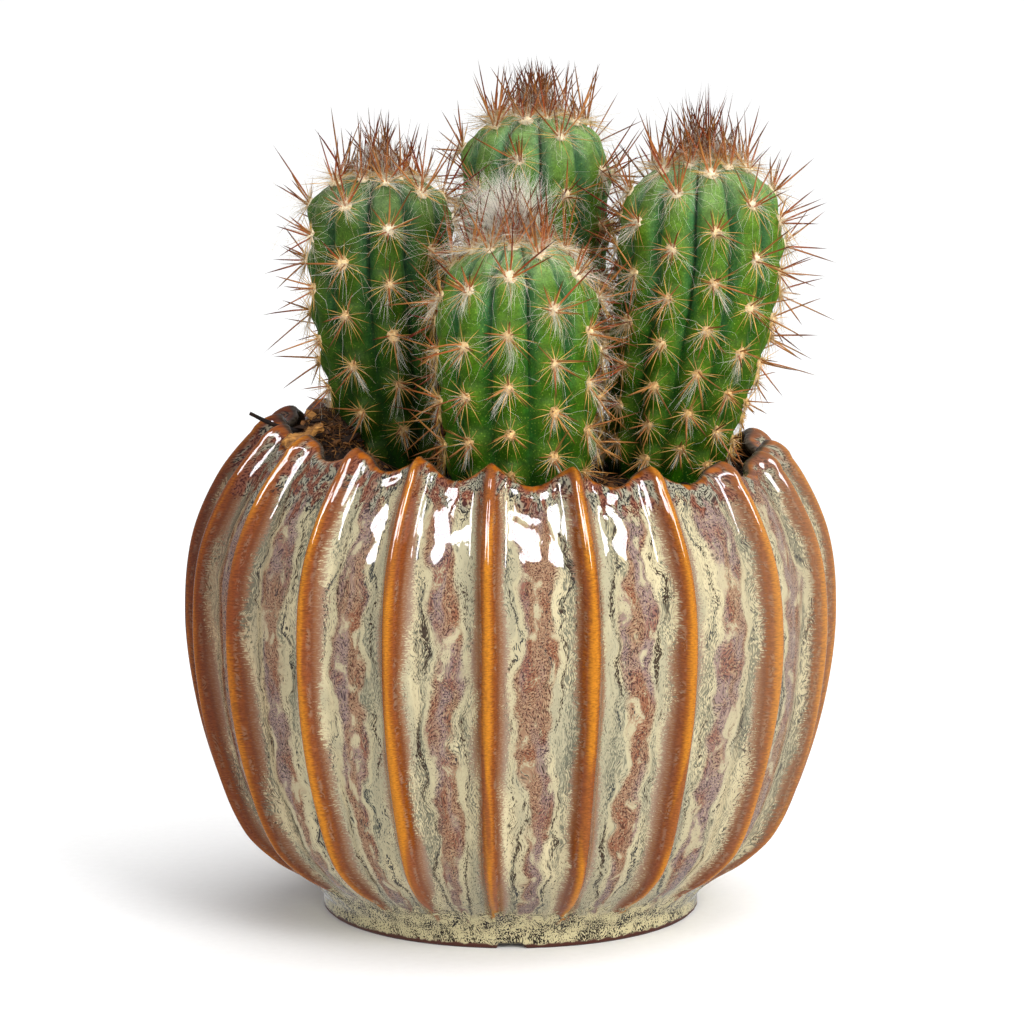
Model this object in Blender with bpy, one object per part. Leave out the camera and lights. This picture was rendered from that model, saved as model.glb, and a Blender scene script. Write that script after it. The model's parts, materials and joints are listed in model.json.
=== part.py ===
"""A potted xique xique cactus.

Four young ribbed stems with areoles and spines stand in the soil of one low, round stoneware
pot, whose outside carries twenty fin-like ribs and ends in a scalloped rim.

The frame is the pot's own: +Z up, the origin on the pot's axis at the foot's underside. The
front, where the photograph was taken from, is -Y. Every size is in metres.
"""

import math
import random

import bmesh
import bpy
from mathutils import Vector
from mathutils.bvhtree import BVHTree

MM = 0.001
GAP = 0.3 * MM

# Pot: how far out the crests of the ribs reach at each height, from foot to rim
CREST_PROFILE_MM = (
    (4.0, 52.4),
    (9.0, 56.5),
    (16.0, 67.5),
    (25.0, 76.3),
    (42.0, 83.6),
    (62.0, 88.6),
    (83.0, 90.6),
    (104.0, 88.6),
    (121.0, 81.4),
    (133.0, 72.0),
    (142.0, 61.5),
)
# Pot: the front ribs aren't evenly spaced; the others share the rest of the circle evenly
FRONT_RIB_ANGLES_DEG = (-90.0, -73.0, -57.0, -38.0, -21.0, -4.0, 14.0, 32.0, 53.0, 72.0, 90.0)
BACK_RIB_COUNT = 9
RIB_HEIGHT = 5.5 * MM
RIB_FADE_LOW = 5.0 * MM
RIB_FADE_HIGH = 20.0 * MM
VALLEY_BULGE = 0.8 * MM
RIB_SECTION = ((0.0, 1.0), (0.16, 0.62), (0.42, 0.0))
RIM_TIP_Z = 135.4 * MM
RIM_VALLEY_Z = 129.2 * MM
RIM_TILT = 3.6 * MM
WALL = 4.6 * MM
INNER_RIB_SHARE = 0.35
LIP_ROUNDING = 1.0 * MM
RIM_PEAK_POWER = 2
FOOT_RADIUS = 52.4 * MM
FOOT_TOP_Z = 4.0 * MM
FOOT_RING_WIDTH = 6.0 * MM
FOOT_RECESS = 2.5 * MM
FLOOR_Z = 8.0 * MM
OUTER_ROWS = 11
ROW_CROWDING = 1.15
INNER_ROWS_Z_MM = (122.0, 102.0, 70.0, 40.0, 18.0)

# Soil: its mean level, then x, y, spread and rise of the mound at the left and the hollow at the right
SOIL_Z = INNER_ROWS_Z_MM[0] * MM
SOIL_MOUND = (-50.0 * MM, -14.0 * MM, 10.5 * MM, 14.5 * MM)
SOIL_HOLLOW = (66.0 * MM, 2.0 * MM, 10.0 * MM, -8.0 * MM)
SOIL_RINGS = 8
SOIL_SEGMENTS = 36
SOIL_ROUGHNESS = 0.5 * MM
STEM_DEPTH = 14.0 * MM
HOLE_HEIGHT = 20.0 * MM
HOLE_SEGMENTS = 24

# Litter: a bark chip on the mound and the rim, and a twig that lies out over the left rim
CHIP_SIZE = (10.0 * MM, 5.0 * MM, 1.6 * MM)
CHIP_OUTLINE = ((-1, -0.8), (0, -1), (1, -0.7), (1.15, 0.1), (0.8, 1), (-0.1, 0.85), (-1, 0.9))
CHIP_PLACE = (-56.2 * MM, -25.6 * MM)
CHIP_TURN_DEG = 20.0
CHIP_SLOPE = 0.35
TWIG_COURSE_MM = ((-71.5, -8.6, 5.2), (-66.0, -9.2, 2.6), (-60.0, -10.0, 0.8), (-54.0, -11.5, 0.0))
TWIG_RINGS = 8
TWIG_RADIUS = (0.5 * MM, 0.9 * MM)
TWIG_SIDES = 6
DROP_HEIGHT = 160.0 * MM

# Stems: name, foot (x, y), top (x, y), apex height, base and widest radius, the dome's height as a
# share of the widest radius and its fullness, ribs, first rib's turn, then the height of an areole on
# the first rib, the areoles' spacing on a rib and the brush's length
STEMS = (
    ("stem_left", (-30.5, -3.0), (-35.6, -3.5), 205.0, 13.8, 19.4, 0.8, 3.0, 10, 172.0, 133.0, 13.9, 19.5),
    ("stem_front", (2.4, -36.0), (1.6, -36.0), 190.9, 18.2, 21.2, 1.04, 2.0, 11, 186.0, 133.8, 13.3, 22.5),
    ("stem_right", (42.0, -2.0), (52.1, -2.5), 209.5, 15.2, 22.1, 1.0, 2.2, 12, 172.0, 135.5, 13.3, 19.0),
    ("stem_back", (6.4, 28.5), (6.9, 27.0), 219.7, 17.0, 20.4, 0.8, 2.2, 10, 193.0, 209.2, 13.8, 18.2),
)
WIDEST_AT = 0.62
LEAN_SHARES = (-0.1, 0.75)
LOWEST_AREOLE = 3.5 * MM
CROWN_RINGS = (4.2 * MM, 1.6 * MM)
CROWN_CLEARANCE = 2.5 * MM
COLLAR_DEPTH = 1.0 * MM
AREOLE_RISE = 0.7 * MM
GROOVE_LOW = 0.12
GROOVE_HIGH = 0.24

# Spines: three-sided, rooted in the flesh round each areole
SPINE_ROOT_DEPTH = 1.3 * MM
SPINE_ROOT_OFFSET = 1.1 * MM
# Each: lean from straight out in radians, shortest and longest, radius at the root
CENTRAL = (0.35, 11.0 * MM, 16.0 * MM, 0.48 * MM)
RADIAL = (1.05, 6.0 * MM, 8.5 * MM, 0.36 * MM)
AREOLE_SPINES = (CENTRAL, RADIAL, RADIAL)
LEAN_SPREAD = 0.15
TURN_SPREAD = 0.4
ROOT_INSET = 0.25 * MM
# The brush at the growing tip: its shortest spine's share, how many, how wide and how far down it starts
BRUSH_SHORTEST = 0.7
BRUSH_SPINES = 20
BRUSH_WIDTH = 0.38
BRUSH_FALL = 5.0 * MM
BRUSH_LEANS = (0.15, 0.75)
BRUSH_ROOT = 1.0 * MM
GOLDEN_ANGLE = math.pi * (3.0 - math.sqrt(5.0))
FURTHEST_REACH = 90.0 * MM
SHORTEST_SPINE = 4.0 * MM
SPINE_CLEARANCE = 1.2 * MM
SHORTENING = 0.8
TESTED_SHARES = (0.45, 0.7, 0.85, 1.0)
TESTED_POINTS = 8
SEED = 23


def smooth_step(low, high, value):
    """0 below low, 1 above high and a smooth rise between them."""
    share = min(max((value - low) / (high - low), 0.0), 1.0)
    return share * share * (3.0 - 2.0 * share)


def curve_through(points, place):
    """A smooth curve through (place, value) points, read at one place."""
    last = len(points) - 2
    index = max(i for i in range(last + 1) if i == 0 or points[i][0] <= place)
    (x0, y0), (x1, y1) = points[index], points[index + 1]

    def slope(i):
        before, after = points[max(i - 1, 0)], points[min(i + 1, last + 1)]
        return (after[1] - before[1]) / (after[0] - before[0])

    width = x1 - x0
    t = (place - x0) / width
    square, cube = t * t, t * t * t
    return (
        (2 * cube - 3 * square + 1) * y0
        + (cube - 2 * square + t) * width * slope(index)
        + (3 * square - 2 * cube) * y1
        + (cube - square) * width * slope(index + 1)
    )


def turns(count):
    """Evenly spaced angles round a full turn, in radians."""
    return [2 * math.pi * i / count for i in range(count)]


def rib_angles():
    """The angles of the rib crests in degrees, from the front towards +X."""
    first, last = FRONT_RIB_ANGLES_DEG[0], FRONT_RIB_ANGLES_DEG[-1]
    step = (360.0 - (last - first)) / (BACK_RIB_COUNT + 1)
    back = [last + step * (i + 1) for i in range(BACK_RIB_COUNT)]
    return list(FRONT_RIB_ANGLES_DEG) + back


def pot_columns():
    """(angle in radians, share of the rib's height, share of the rim's peak) round the pot."""
    crests = rib_angles()
    crests.append(crests[0] + 360.0)
    columns = []
    for left, right in zip(crests, crests[1:]):
        half = (right - left) / 2.0
        for share, height in RIB_SECTION:
            columns.append((left + share * half, height, (1.0 - share) ** RIM_PEAK_POWER))
        columns.append((left + half, VALLEY_BULGE / RIB_HEIGHT, 0.0))
        for share, height in reversed(RIB_SECTION[1:]):
            columns.append((right - share * half, height, (1.0 - share) ** RIM_PEAK_POWER))
    return [(math.radians(angle), height, peak) for angle, height, peak in columns]


def rim_z(angle, peak):
    """The rim's height at an angle: peaks on the ribs, lower towards the right."""
    return RIM_VALLEY_Z + (RIM_TIP_Z - RIM_VALLEY_Z) * peak - RIM_TILT * math.sin(angle)


def crest_radius(z):
    """How far the rib crests reach from the axis at a height."""
    return curve_through(CREST_PROFILE_MM, z / MM) * MM


def rib_height(z):
    """The height of the ribs over their valleys, which fades out above the foot."""
    return RIB_HEIGHT * smooth_step(RIB_FADE_LOW, RIB_FADE_HIGH, z)


def outer_radius(z, height):
    """The radius of the pot's outside, height being 1 on a crest and 0 in a valley."""
    return crest_radius(z) - rib_height(z) * (1.0 - height)


def inner_radius(z, height):
    """The radius of the pot's inside, which follows the ribs faintly."""
    valley = crest_radius(z) - rib_height(z)
    return valley - WALL + rib_height(z) * INNER_RIB_SHARE * height


def ring(mesh, columns, radius_of, z_of):
    """One closed ring of vertices, a vertex at each column."""
    made = []
    for angle, height, peak in columns:
        z = z_of(angle, peak)
        radius = radius_of(z, height)
        made.append(mesh.verts.new((radius * math.sin(angle), -radius * math.cos(angle), z)))
    return made


def bridge(mesh, lower, upper):
    """Quads between two rings that have the same number of vertices."""
    for i in range(len(lower)):
        j = (i + 1) % len(lower)
        mesh.faces.new((lower[i], lower[j], upper[j], upper[i]))


def finish_mesh(mesh, name, smooth_angle):
    """Writes a bmesh to an object of its own, with normals out and round faces smooth."""
    bmesh.ops.recalc_face_normals(mesh, faces=mesh.faces)
    data = bpy.data.meshes.new(name)
    mesh.to_mesh(data)
    mesh.free()
    data.shade_smooth()
    data.set_sharp_from_angle(angle=math.radians(smooth_angle))
    obj = bpy.data.objects.new(name, data)
    bpy.context.scene.collection.objects.link(obj)
    return obj


def paint(obj, colour, roughness):
    """Gives an object its own Principled material."""
    material = bpy.data.materials.new(obj.name)
    material.use_nodes = True
    shader = material.node_tree.nodes["Principled BSDF"]
    shader.inputs["Base Color"].default_value = (*colour, 1.0)
    shader.inputs["Roughness"].default_value = roughness
    shader.inputs["Metallic"].default_value = 0.0
    obj.data.materials.clear()
    obj.data.materials.append(material)


def make_pot():
    """The stoneware pot: ribbed outside, scalloped lip, hollow inside and recessed foot."""
    mesh = bmesh.new()
    columns = pot_columns()

    def level(z):
        return lambda angle, peak: z

    def wall_level(share):
        return lambda angle, peak: FOOT_TOP_Z + share * (
            rim_z(angle, peak) - LIP_ROUNDING - FOOT_TOP_Z
        )

    rings = [
        ring(mesh, columns, lambda z, h: FOOT_RADIUS - FOOT_RING_WIDTH, level(FOOT_RECESS)),
        ring(mesh, columns, lambda z, h: FOOT_RADIUS - FOOT_RING_WIDTH, level(0.0)),
        ring(mesh, columns, lambda z, h: FOOT_RADIUS, level(0.0)),
    ]
    for row in range(OUTER_ROWS + 1):
        share = (row / OUTER_ROWS) ** ROW_CROWDING
        rings.append(ring(mesh, columns, outer_radius, wall_level(share)))
    rings.append(
        ring(mesh, columns, lambda z, h: (outer_radius(z, h) + inner_radius(z, h)) / 2, rim_z)
    )
    rings.append(ring(mesh, columns, inner_radius, wall_level(1.0)))
    for z in INNER_ROWS_Z_MM:
        rings.append(ring(mesh, columns, inner_radius, level(z * MM)))
    rings.append(ring(mesh, columns, lambda z, h: FOOT_RADIUS - WALL, level(FLOOR_Z)))
    for lower, upper in zip(rings, rings[1:]):
        bridge(mesh, lower, upper)
    mesh.faces.new(rings[0])
    mesh.faces.new(rings[-1])
    bmesh.ops.triangulate(mesh, faces=mesh.faces)
    pot = finish_mesh(mesh, "pot", 50.0)
    paint(pot, (0.36, 0.27, 0.16), 0.12)
    return pot


def soil_height(x, y):
    """The height of the soil's surface at a place."""
    z = SOIL_Z
    for mx, my, spread, rise in (SOIL_MOUND, SOIL_HOLLOW):
        z += rise * math.exp(-((x - mx) ** 2 + (y - my) ** 2) / (2 * spread**2))
    return z


def soil_wall_radius(z):
    """The radius that the soil may fill at a height, clear of the pot's inside."""
    return inner_radius(z, 0.0) - GAP


def make_soil(stems):
    """The potting soil: it fills the pot and has one plain hole for each stem."""
    mesh = bmesh.new()
    draw = random.Random(SEED)
    angles = turns(SOIL_SEGMENTS)
    wall = [(FLOOR_Z + GAP, FOOT_RADIUS - WALL - GAP)]
    wall += [(z * MM, soil_wall_radius(z * MM)) for z in reversed(INNER_ROWS_Z_MM)]
    rings = [
        [mesh.verts.new((radius * math.cos(a), radius * math.sin(a), z)) for a in angles]
        for z, radius in wall
    ]
    edge = wall[-1][1]
    for step in range(1, SOIL_RINGS):
        radius = edge * (1.0 - step / SOIL_RINGS)
        row = []
        for a in angles:
            x, y = radius * math.cos(a), radius * math.sin(a)
            z = soil_height(x, y) + draw.uniform(-1.0, 1.0) * SOIL_ROUGHNESS
            squeeze = min(1.0, soil_wall_radius(max(z, SOIL_Z)) / radius)
            row.append(mesh.verts.new((x * squeeze, y * squeeze, z)))
        rings.append(row)
    for lower, upper in zip(rings, rings[1:]):
        bridge(mesh, lower, upper)
    mesh.faces.new(rings[0])
    mesh.faces.new(rings[-1])
    bmesh.ops.triangulate(mesh, faces=mesh.faces)
    soil = finish_mesh(mesh, "soil", 60.0)
    holes = bpy.data.collections.new("stem holes")
    bpy.context.scene.collection.children.link(holes)
    for stem in stems:
        holes.objects.link(stem.hole())
    cut_or_join(soil, holes, "DIFFERENCE", "EXACT")
    paint(soil, (0.035, 0.022, 0.015), 0.95)
    return soil


def cut_or_join(obj, collection, operation, solver):
    """Applies one Boolean with every object of a collection, and removes those objects."""
    boolean = obj.modifiers.new("join", "BOOLEAN")
    boolean.operation = operation
    boolean.solver = solver
    boolean.operand_type = "COLLECTION"
    boolean.collection = collection
    graph = bpy.context.evaluated_depsgraph_get()
    joined = bpy.data.meshes.new_from_object(obj.evaluated_get(graph))
    obj.modifiers.remove(boolean)
    old = obj.data
    joined.name = obj.name
    obj.data = joined
    bpy.data.meshes.remove(old)
    for helper in list(collection.objects):
        bpy.data.objects.remove(helper)
    bpy.data.collections.remove(collection)


class Stem:
    """One ribbed stem: its shape as formulas, and the mesh made from them."""

    def __init__(
        self, name, foot, top, apex, base, widest, dome, power, ribs, turn, areole_z, spacing, brush
    ):
        self.name = name
        self.foot = Vector(foot) * MM
        self.top = Vector(top) * MM
        self.apex = apex * MM
        self.base_radius = base * MM
        self.widest_radius = widest * MM
        self.dome = dome * self.widest_radius
        self.dome_power = power
        self.ribs = ribs
        self.turn = math.radians(turn)
        self.areole_z = areole_z * MM
        self.spacing = spacing * MM
        self.brush = brush * MM
        self.soil_z = soil_height(*self.foot)
        self.bottom = self.soil_z - STEM_DEPTH

    def share(self, z):
        """0 at the soil and 1 at the apex."""
        return (z - self.soil_z) / (self.apex - self.soil_z)

    def centre(self, z):
        """The middle of the stem at a height."""
        lean = smooth_step(*LEAN_SHARES, self.share(z))
        return self.foot.lerp(self.top, lean)

    def reach(self, z):
        """The radius over the rib crests at a height."""
        share = self.share(z)
        swell = math.sin(math.pi / 2 * min(max(share, 0.0) / WIDEST_AT, 1.0))
        radius = self.base_radius + (self.widest_radius - self.base_radius) * swell
        over = max(z - (self.apex - self.dome), 0.0) / self.dome
        return radius * math.sqrt(max(1.0 - over**self.dome_power, 0.0))

    def groove(self, z):
        """How deep the grooves are, as a share of the radius."""
        return GROOVE_LOW + (GROOVE_HIGH - GROOVE_LOW) * smooth_step(0.0, 0.9, self.share(z))

    def rib_angle(self, rib):
        """The angle of a rib, counted from +Y."""
        return self.turn + 2 * math.pi * rib / self.ribs

    def levels(self):
        """(step, height) of each ring of areoles: even steps on the even ribs, odd on the odd."""
        half = self.spacing / 2
        first = math.ceil((self.soil_z + LOWEST_AREOLE - self.areole_z) / half)
        last = math.floor((self.apex - CROWN_RINGS[0] - CROWN_CLEARANCE - self.areole_z) / half)
        return [(step, self.areole_z + half * step) for step in range(first, last + 1)]

    def areoles(self):
        """(rib, height) of each areole, in two staggered sets."""
        found = []
        for step, z in self.levels():
            found.extend((rib, z) for rib in range(self.ribs) if (rib + step) % 2 == 0)
        return found

    def on_rib(self, rib, z, rise=0.0):
        """A point on a rib's crest."""
        angle = self.rib_angle(rib)
        radius = self.reach(z) + rise
        centre = self.centre(z)
        return Vector((centre.x + radius * math.sin(angle), centre.y + radius * math.cos(angle), z))

    def outward(self, rib, z):
        """The direction straight out of the flesh at a rib's crest."""
        up = self.on_rib(rib, z + MM) - self.on_rib(rib, z - MM)
        angle = self.rib_angle(rib)
        side = Vector((math.cos(angle), -math.sin(angle), 0.0))
        return up.cross(side).normalized()

    def body(self):
        """The ribbed flesh: crests with a rise at each areole, grooves between them."""
        mesh = bmesh.new()
        rings = []
        levels = [(None, self.bottom), (None, self.soil_z - COLLAR_DEPTH)] + self.levels()
        levels += [(None, self.apex - below) for below in CROWN_RINGS]
        for step, z in levels:
            centre, reach, groove = self.centre(z), self.reach(z), self.groove(z)
            row = []
            for column in range(2 * self.ribs):
                rib, in_groove = divmod(column, 2)
                angle = self.rib_angle(rib + in_groove / 2)
                radius = reach * (1.0 - groove * in_groove)
                if step is not None and not in_groove:
                    radius += AREOLE_RISE if (rib + step) % 2 == 0 else -AREOLE_RISE
                x, y = centre.x + radius * math.sin(angle), centre.y + radius * math.cos(angle)
                row.append(mesh.verts.new((x, y, z)))
            rings.append(row)
        for lower, upper in zip(rings, rings[1:]):
            bridge(mesh, lower, upper)
        mesh.faces.new(rings[0])
        tip = mesh.verts.new((*self.centre(self.apex), self.apex))
        for i in range(len(rings[-1])):
            mesh.faces.new((rings[-1][i], rings[-1][(i + 1) % len(rings[-1])], tip))
        bmesh.ops.triangulate(mesh, faces=mesh.faces)
        return finish_mesh(mesh, self.name, 40.0)

    def hole(self):
        """The plain hole in the soil that the stem stands in."""
        mesh = bmesh.new()
        rings = []
        for height in (-STEM_DEPTH - GAP, 0.0, HOLE_HEIGHT / 2, HOLE_HEIGHT):
            z = self.soil_z + height
            centre = self.centre(z)
            radius = self.reach(z) + AREOLE_RISE + 2 * GAP
            row = []
            for turn in turns(HOLE_SEGMENTS):
                x = centre.x + radius * math.cos(turn)
                row.append(mesh.verts.new((x, centre.y + radius * math.sin(turn), z)))
            rings.append(row)
        for lower, upper in zip(rings, rings[1:]):
            bridge(mesh, lower, upper)
        mesh.faces.new(rings[0])
        mesh.faces.new(rings[-1])
        cutter = finish_mesh(mesh, self.name + " hole", 60.0)
        bpy.context.scene.collection.objects.unlink(cutter)
        cutter.hide_render = True
        cutter.display_type = "WIRE"
        return cutter


def drops_between(lower, upper):
    """The heights of the upper object's surface over the lower one's, met at the vertices."""
    graph = bpy.context.evaluated_depsgraph_get()
    found = []
    for source, target, way in ((upper, lower, -1.0), (lower, upper, 1.0)):
        surface = BVHTree.FromObject(target, graph)
        for vertex in source.data.vertices:
            place, _, _, distance = surface.ray_cast(vertex.co, Vector((0.0, 0.0, way)))
            if place is not None:
                found.append(distance)
    return found


def seat_on(carriers, piece):
    """Lowers a piece until it lies the usual gap over what carries it."""
    lower = min(min(drops_between(carrier, piece)) for carrier in carriers) - GAP
    for vertex in piece.data.vertices:
        vertex.co.z -= lower


def make_chip(pot, soil):
    """A split chip of bark that leans on the mound and the rim."""
    mesh = bmesh.new()
    length, width, depth = CHIP_SIZE
    turn = math.radians(CHIP_TURN_DEG)
    layers = []
    for layer in range(2):
        row = []
        for along, across in CHIP_OUTLINE:
            x, y = along * length / 2, across * width / 2
            px = CHIP_PLACE[0] + x * math.cos(turn) - y * math.sin(turn)
            py = CHIP_PLACE[1] + x * math.sin(turn) + y * math.cos(turn)
            row.append(mesh.verts.new((px, py, DROP_HEIGHT + x * CHIP_SLOPE + layer * depth)))
        layers.append(row)
    bridge(mesh, *layers)
    mesh.faces.new(layers[0])
    mesh.faces.new(layers[1])
    bmesh.ops.triangulate(mesh, faces=mesh.faces)
    chip = finish_mesh(mesh, "bark_chip", 30.0)
    seat_on((pot, soil), chip)
    paint(chip, (0.42, 0.25, 0.11), 0.85)


def make_twig(pot, soil):
    """A thin dry twig that lies on the mound and out over the rim."""
    mesh = bmesh.new()
    sideways = [(x, y) for x, y, z in TWIG_COURSE_MM]
    heights = [(x, z) for x, y, z in TWIG_COURSE_MM]
    start, end = sideways[0][0], sideways[-1][0]
    points = []
    for index in range(TWIG_RINGS):
        x = start + (end - start) * index / (TWIG_RINGS - 1)
        place = Vector((x, curve_through(sideways, x), curve_through(heights, x))) * MM
        points.append(place + Vector((0.0, 0.0, DROP_HEIGHT)))
    rings = []
    for index, point in enumerate(points):
        along = points[min(index + 1, TWIG_RINGS - 1)] - points[max(index - 1, 0)]
        side = along.cross(Vector((0.0, 0.0, 1.0))).normalized()
        over = side.cross(along).normalized()
        share = index / (TWIG_RINGS - 1)
        radius = TWIG_RADIUS[0] + (TWIG_RADIUS[1] - TWIG_RADIUS[0]) * share
        row = []
        for turn in turns(TWIG_SIDES):
            offset = (side * math.cos(turn) + over * math.sin(turn)) * radius
            row.append(mesh.verts.new(point + offset))
        rings.append(row)
    for first, second in zip(rings, rings[1:]):
        bridge(mesh, first, second)
    mesh.faces.new(rings[0])
    mesh.faces.new(rings[-1])
    bmesh.ops.triangulate(mesh, faces=mesh.faces)
    twig = finish_mesh(mesh, "twig", 60.0)
    seat_on((pot, soil), twig)
    paint(twig, (0.05, 0.035, 0.025), 0.8)


def inside_other(point, stem, stems):
    """True if a point comes too near another stem's flesh."""
    for other in stems:
        if other is stem or not other.bottom < point.z < other.apex + SPINE_CLEARANCE:
            continue
        z = min(point.z, other.apex)
        if (point.xy - other.centre(z)).length < other.reach(z) + AREOLE_RISE + SPINE_CLEARANCE:
            return True
    return False


def near_pot_or_soil(point):
    """True if a point comes too near the soil or the pot."""
    if point.z < soil_height(point.x, point.y) + SOIL_ROUGHNESS + SPINE_CLEARANCE:
        return True
    if point.z > RIM_TIP_Z + RIM_TILT + SPINE_CLEARANCE:
        return point.xy.length > FURTHEST_REACH
    return point.xy.length > inner_radius(min(point.z, RIM_VALLEY_Z), 0.0) - SPINE_CLEARANCE


def near_other_spine(start, end, stem, placed):
    """True if a segment comes too near a spine of another stem."""
    for owner, other_start, other_end in placed:
        if owner is stem:
            continue
        along = end - start
        for i in range(TESTED_POINTS + 1):
            point = other_start.lerp(other_end, i / TESTED_POINTS)
            t = min(max((point - start).dot(along) / along.length_squared, 0.0), 1.0)
            if (start.lerp(end, t) - point).length < 2 * SPINE_CLEARANCE:
                return True
    return False


def clear_length(root, direction, length, stem, stems, placed):
    """The longest length at which a spine stays clear of everything but its own stem."""
    while length >= SHORTEST_SPINE:
        end = root + direction * length
        points = [root.lerp(end, share) for share in TESTED_SHARES]
        hit = any(inside_other(p, stem, stems) or near_pot_or_soil(p) for p in points)
        if not hit and not near_other_spine(root, end, stem, placed):
            return length
        length *= SHORTENING
    return 0.0


def spine_object(name, root, direction, length, radius):
    """A three-sided spine whose root is sunk into the flesh."""
    mesh = bmesh.new()
    side = direction.orthogonal().normalized()
    other = direction.cross(side)
    start = root - direction * SPINE_ROOT_DEPTH
    base = []
    for turn in turns(3):
        offset = side * math.cos(turn) + other * math.sin(turn)
        base.append(mesh.verts.new(start + offset * radius))
    tip = mesh.verts.new(root + direction * length)
    mesh.faces.new(base)
    for i in range(3):
        mesh.faces.new((base[i], base[(i + 1) % 3], tip))
    return finish_mesh(mesh, name, 180.0)


def areole_spines(stem, rib, z, draw):
    """(root, direction, length, radius) of each spine at one areole."""
    normal = stem.outward(rib, z)
    across = Vector((0.0, 0.0, 1.0)).cross(normal).normalized()
    up = normal.cross(across)
    root = stem.on_rib(rib, z, AREOLE_RISE - ROOT_INSET)
    spines = []
    first = draw.uniform(0.0, 2 * math.pi)
    for step, (lean, shortest, longest, radius) in zip(turns(len(AREOLE_SPINES)), AREOLE_SPINES):
        turn = first + step + draw.uniform(-TURN_SPREAD, TURN_SPREAD)
        tilt = lean + draw.uniform(-LEAN_SPREAD, LEAN_SPREAD)
        sideways = across * math.cos(turn) + up * math.sin(turn)
        direction = (normal * math.cos(tilt) + sideways * math.sin(tilt)).normalized()
        place = root + sideways * SPINE_ROOT_OFFSET - normal * ROOT_INSET
        spines.append((place, direction, draw.uniform(shortest, longest), radius))
    return spines


def brush_spines(stem, draw):
    """The dense upright spines round the growing tip."""
    spines = []
    for i in range(BRUSH_SPINES):
        share = math.sqrt((i + 0.5) / BRUSH_SPINES)
        turn = i * GOLDEN_ANGLE
        outward = Vector((math.sin(turn), math.cos(turn), 0.0))
        z = stem.apex - BRUSH_FALL * share * share
        place = Vector((*stem.centre(z), z)) + outward * BRUSH_WIDTH * stem.widest_radius * share
        lean = BRUSH_LEANS[0] + (BRUSH_LEANS[1] - BRUSH_LEANS[0]) * share
        direction = (Vector((0.0, 0.0, 1.0)) + outward * lean).normalized()
        root = place - direction * BRUSH_ROOT
        length = stem.brush * draw.uniform(BRUSH_SHORTEST, 1.0)
        spines.append((root, direction, length, CENTRAL[-1]))
    return spines


def make_stem(stem, stems, placed):
    """One stem with its spines fused to its flesh."""
    draw = random.Random(SEED + len(placed))
    obj = stem.body()
    spines = bpy.data.collections.new(stem.name + " spines")
    bpy.context.scene.collection.children.link(spines)
    wanted = brush_spines(stem, draw)
    for rib, z in stem.areoles():
        wanted.extend(areole_spines(stem, rib, z, draw))
    for number, (root, direction, longest, radius) in enumerate(wanted):
        length = clear_length(root, direction, longest, stem, stems, placed)
        if length:
            name = f"{stem.name} spine {number}"
            spine = spine_object(name, root, direction, length, radius)
            bpy.context.scene.collection.objects.unlink(spine)
            spines.objects.link(spine)
            placed.append((stem, root, root + direction * length))
    cut_or_join(obj, spines, "UNION", "MANIFOLD")
    paint(obj, (0.10, 0.27, 0.06), 0.55)


def main():
    for obj in list(bpy.data.objects):
        bpy.data.objects.remove(obj)
    stems = [Stem(*values) for values in STEMS]
    pot = make_pot()
    soil = make_soil(stems)
    make_chip(pot, soil)
    make_twig(pot, soil)
    placed = []
    for stem in stems:
        make_stem(stem, stems, placed)


if __name__ == "__main__":
    main()
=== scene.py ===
"""The looks of a potted xique xique cactus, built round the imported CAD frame.

The frame is the pot's own: +Z up, the origin on the pot's axis at the underside of its foot, and
-Y the front. Sizes are in metres, unless a name ends in _mm or _deg.
"""

from __future__ import annotations

import json
import logging
import math
from dataclasses import dataclass
from enum import Enum

import bmesh
import bpy
import numpy as np
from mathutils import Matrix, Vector, noise

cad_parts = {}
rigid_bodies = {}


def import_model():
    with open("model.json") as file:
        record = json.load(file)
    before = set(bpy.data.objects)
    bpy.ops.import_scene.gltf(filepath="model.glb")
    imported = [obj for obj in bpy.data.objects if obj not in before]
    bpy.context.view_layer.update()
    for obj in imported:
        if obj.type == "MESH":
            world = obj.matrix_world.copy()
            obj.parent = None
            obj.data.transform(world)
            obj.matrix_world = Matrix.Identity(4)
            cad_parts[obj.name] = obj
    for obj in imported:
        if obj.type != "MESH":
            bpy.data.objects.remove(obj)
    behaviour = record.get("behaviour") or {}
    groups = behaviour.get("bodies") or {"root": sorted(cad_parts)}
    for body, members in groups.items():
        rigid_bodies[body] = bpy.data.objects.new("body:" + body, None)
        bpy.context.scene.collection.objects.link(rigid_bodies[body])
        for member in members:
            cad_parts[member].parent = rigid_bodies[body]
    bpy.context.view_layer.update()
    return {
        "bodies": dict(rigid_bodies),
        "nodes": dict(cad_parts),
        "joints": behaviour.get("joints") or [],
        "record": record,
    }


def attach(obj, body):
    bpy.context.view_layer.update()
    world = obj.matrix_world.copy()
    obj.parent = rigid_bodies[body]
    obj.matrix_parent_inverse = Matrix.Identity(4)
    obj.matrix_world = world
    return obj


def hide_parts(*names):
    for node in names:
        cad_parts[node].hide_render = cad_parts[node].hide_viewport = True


log = logging.getLogger("potted_cactus")

MM = 0.001
SEED = 23
GAP = 0.3 * MM
# A colour mix takes a share and two colours. A smooth map range takes a value, where its rise
# starts and ends, and what it rises from and to.
MIX = "Mix.RGBA"
EASE = "MapRange.SMOOTHSTEP"

Array = np.ndarray
Socket = bpy.types.NodeSocket
Material = bpy.types.Material
Piece = bpy.types.Object


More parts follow.
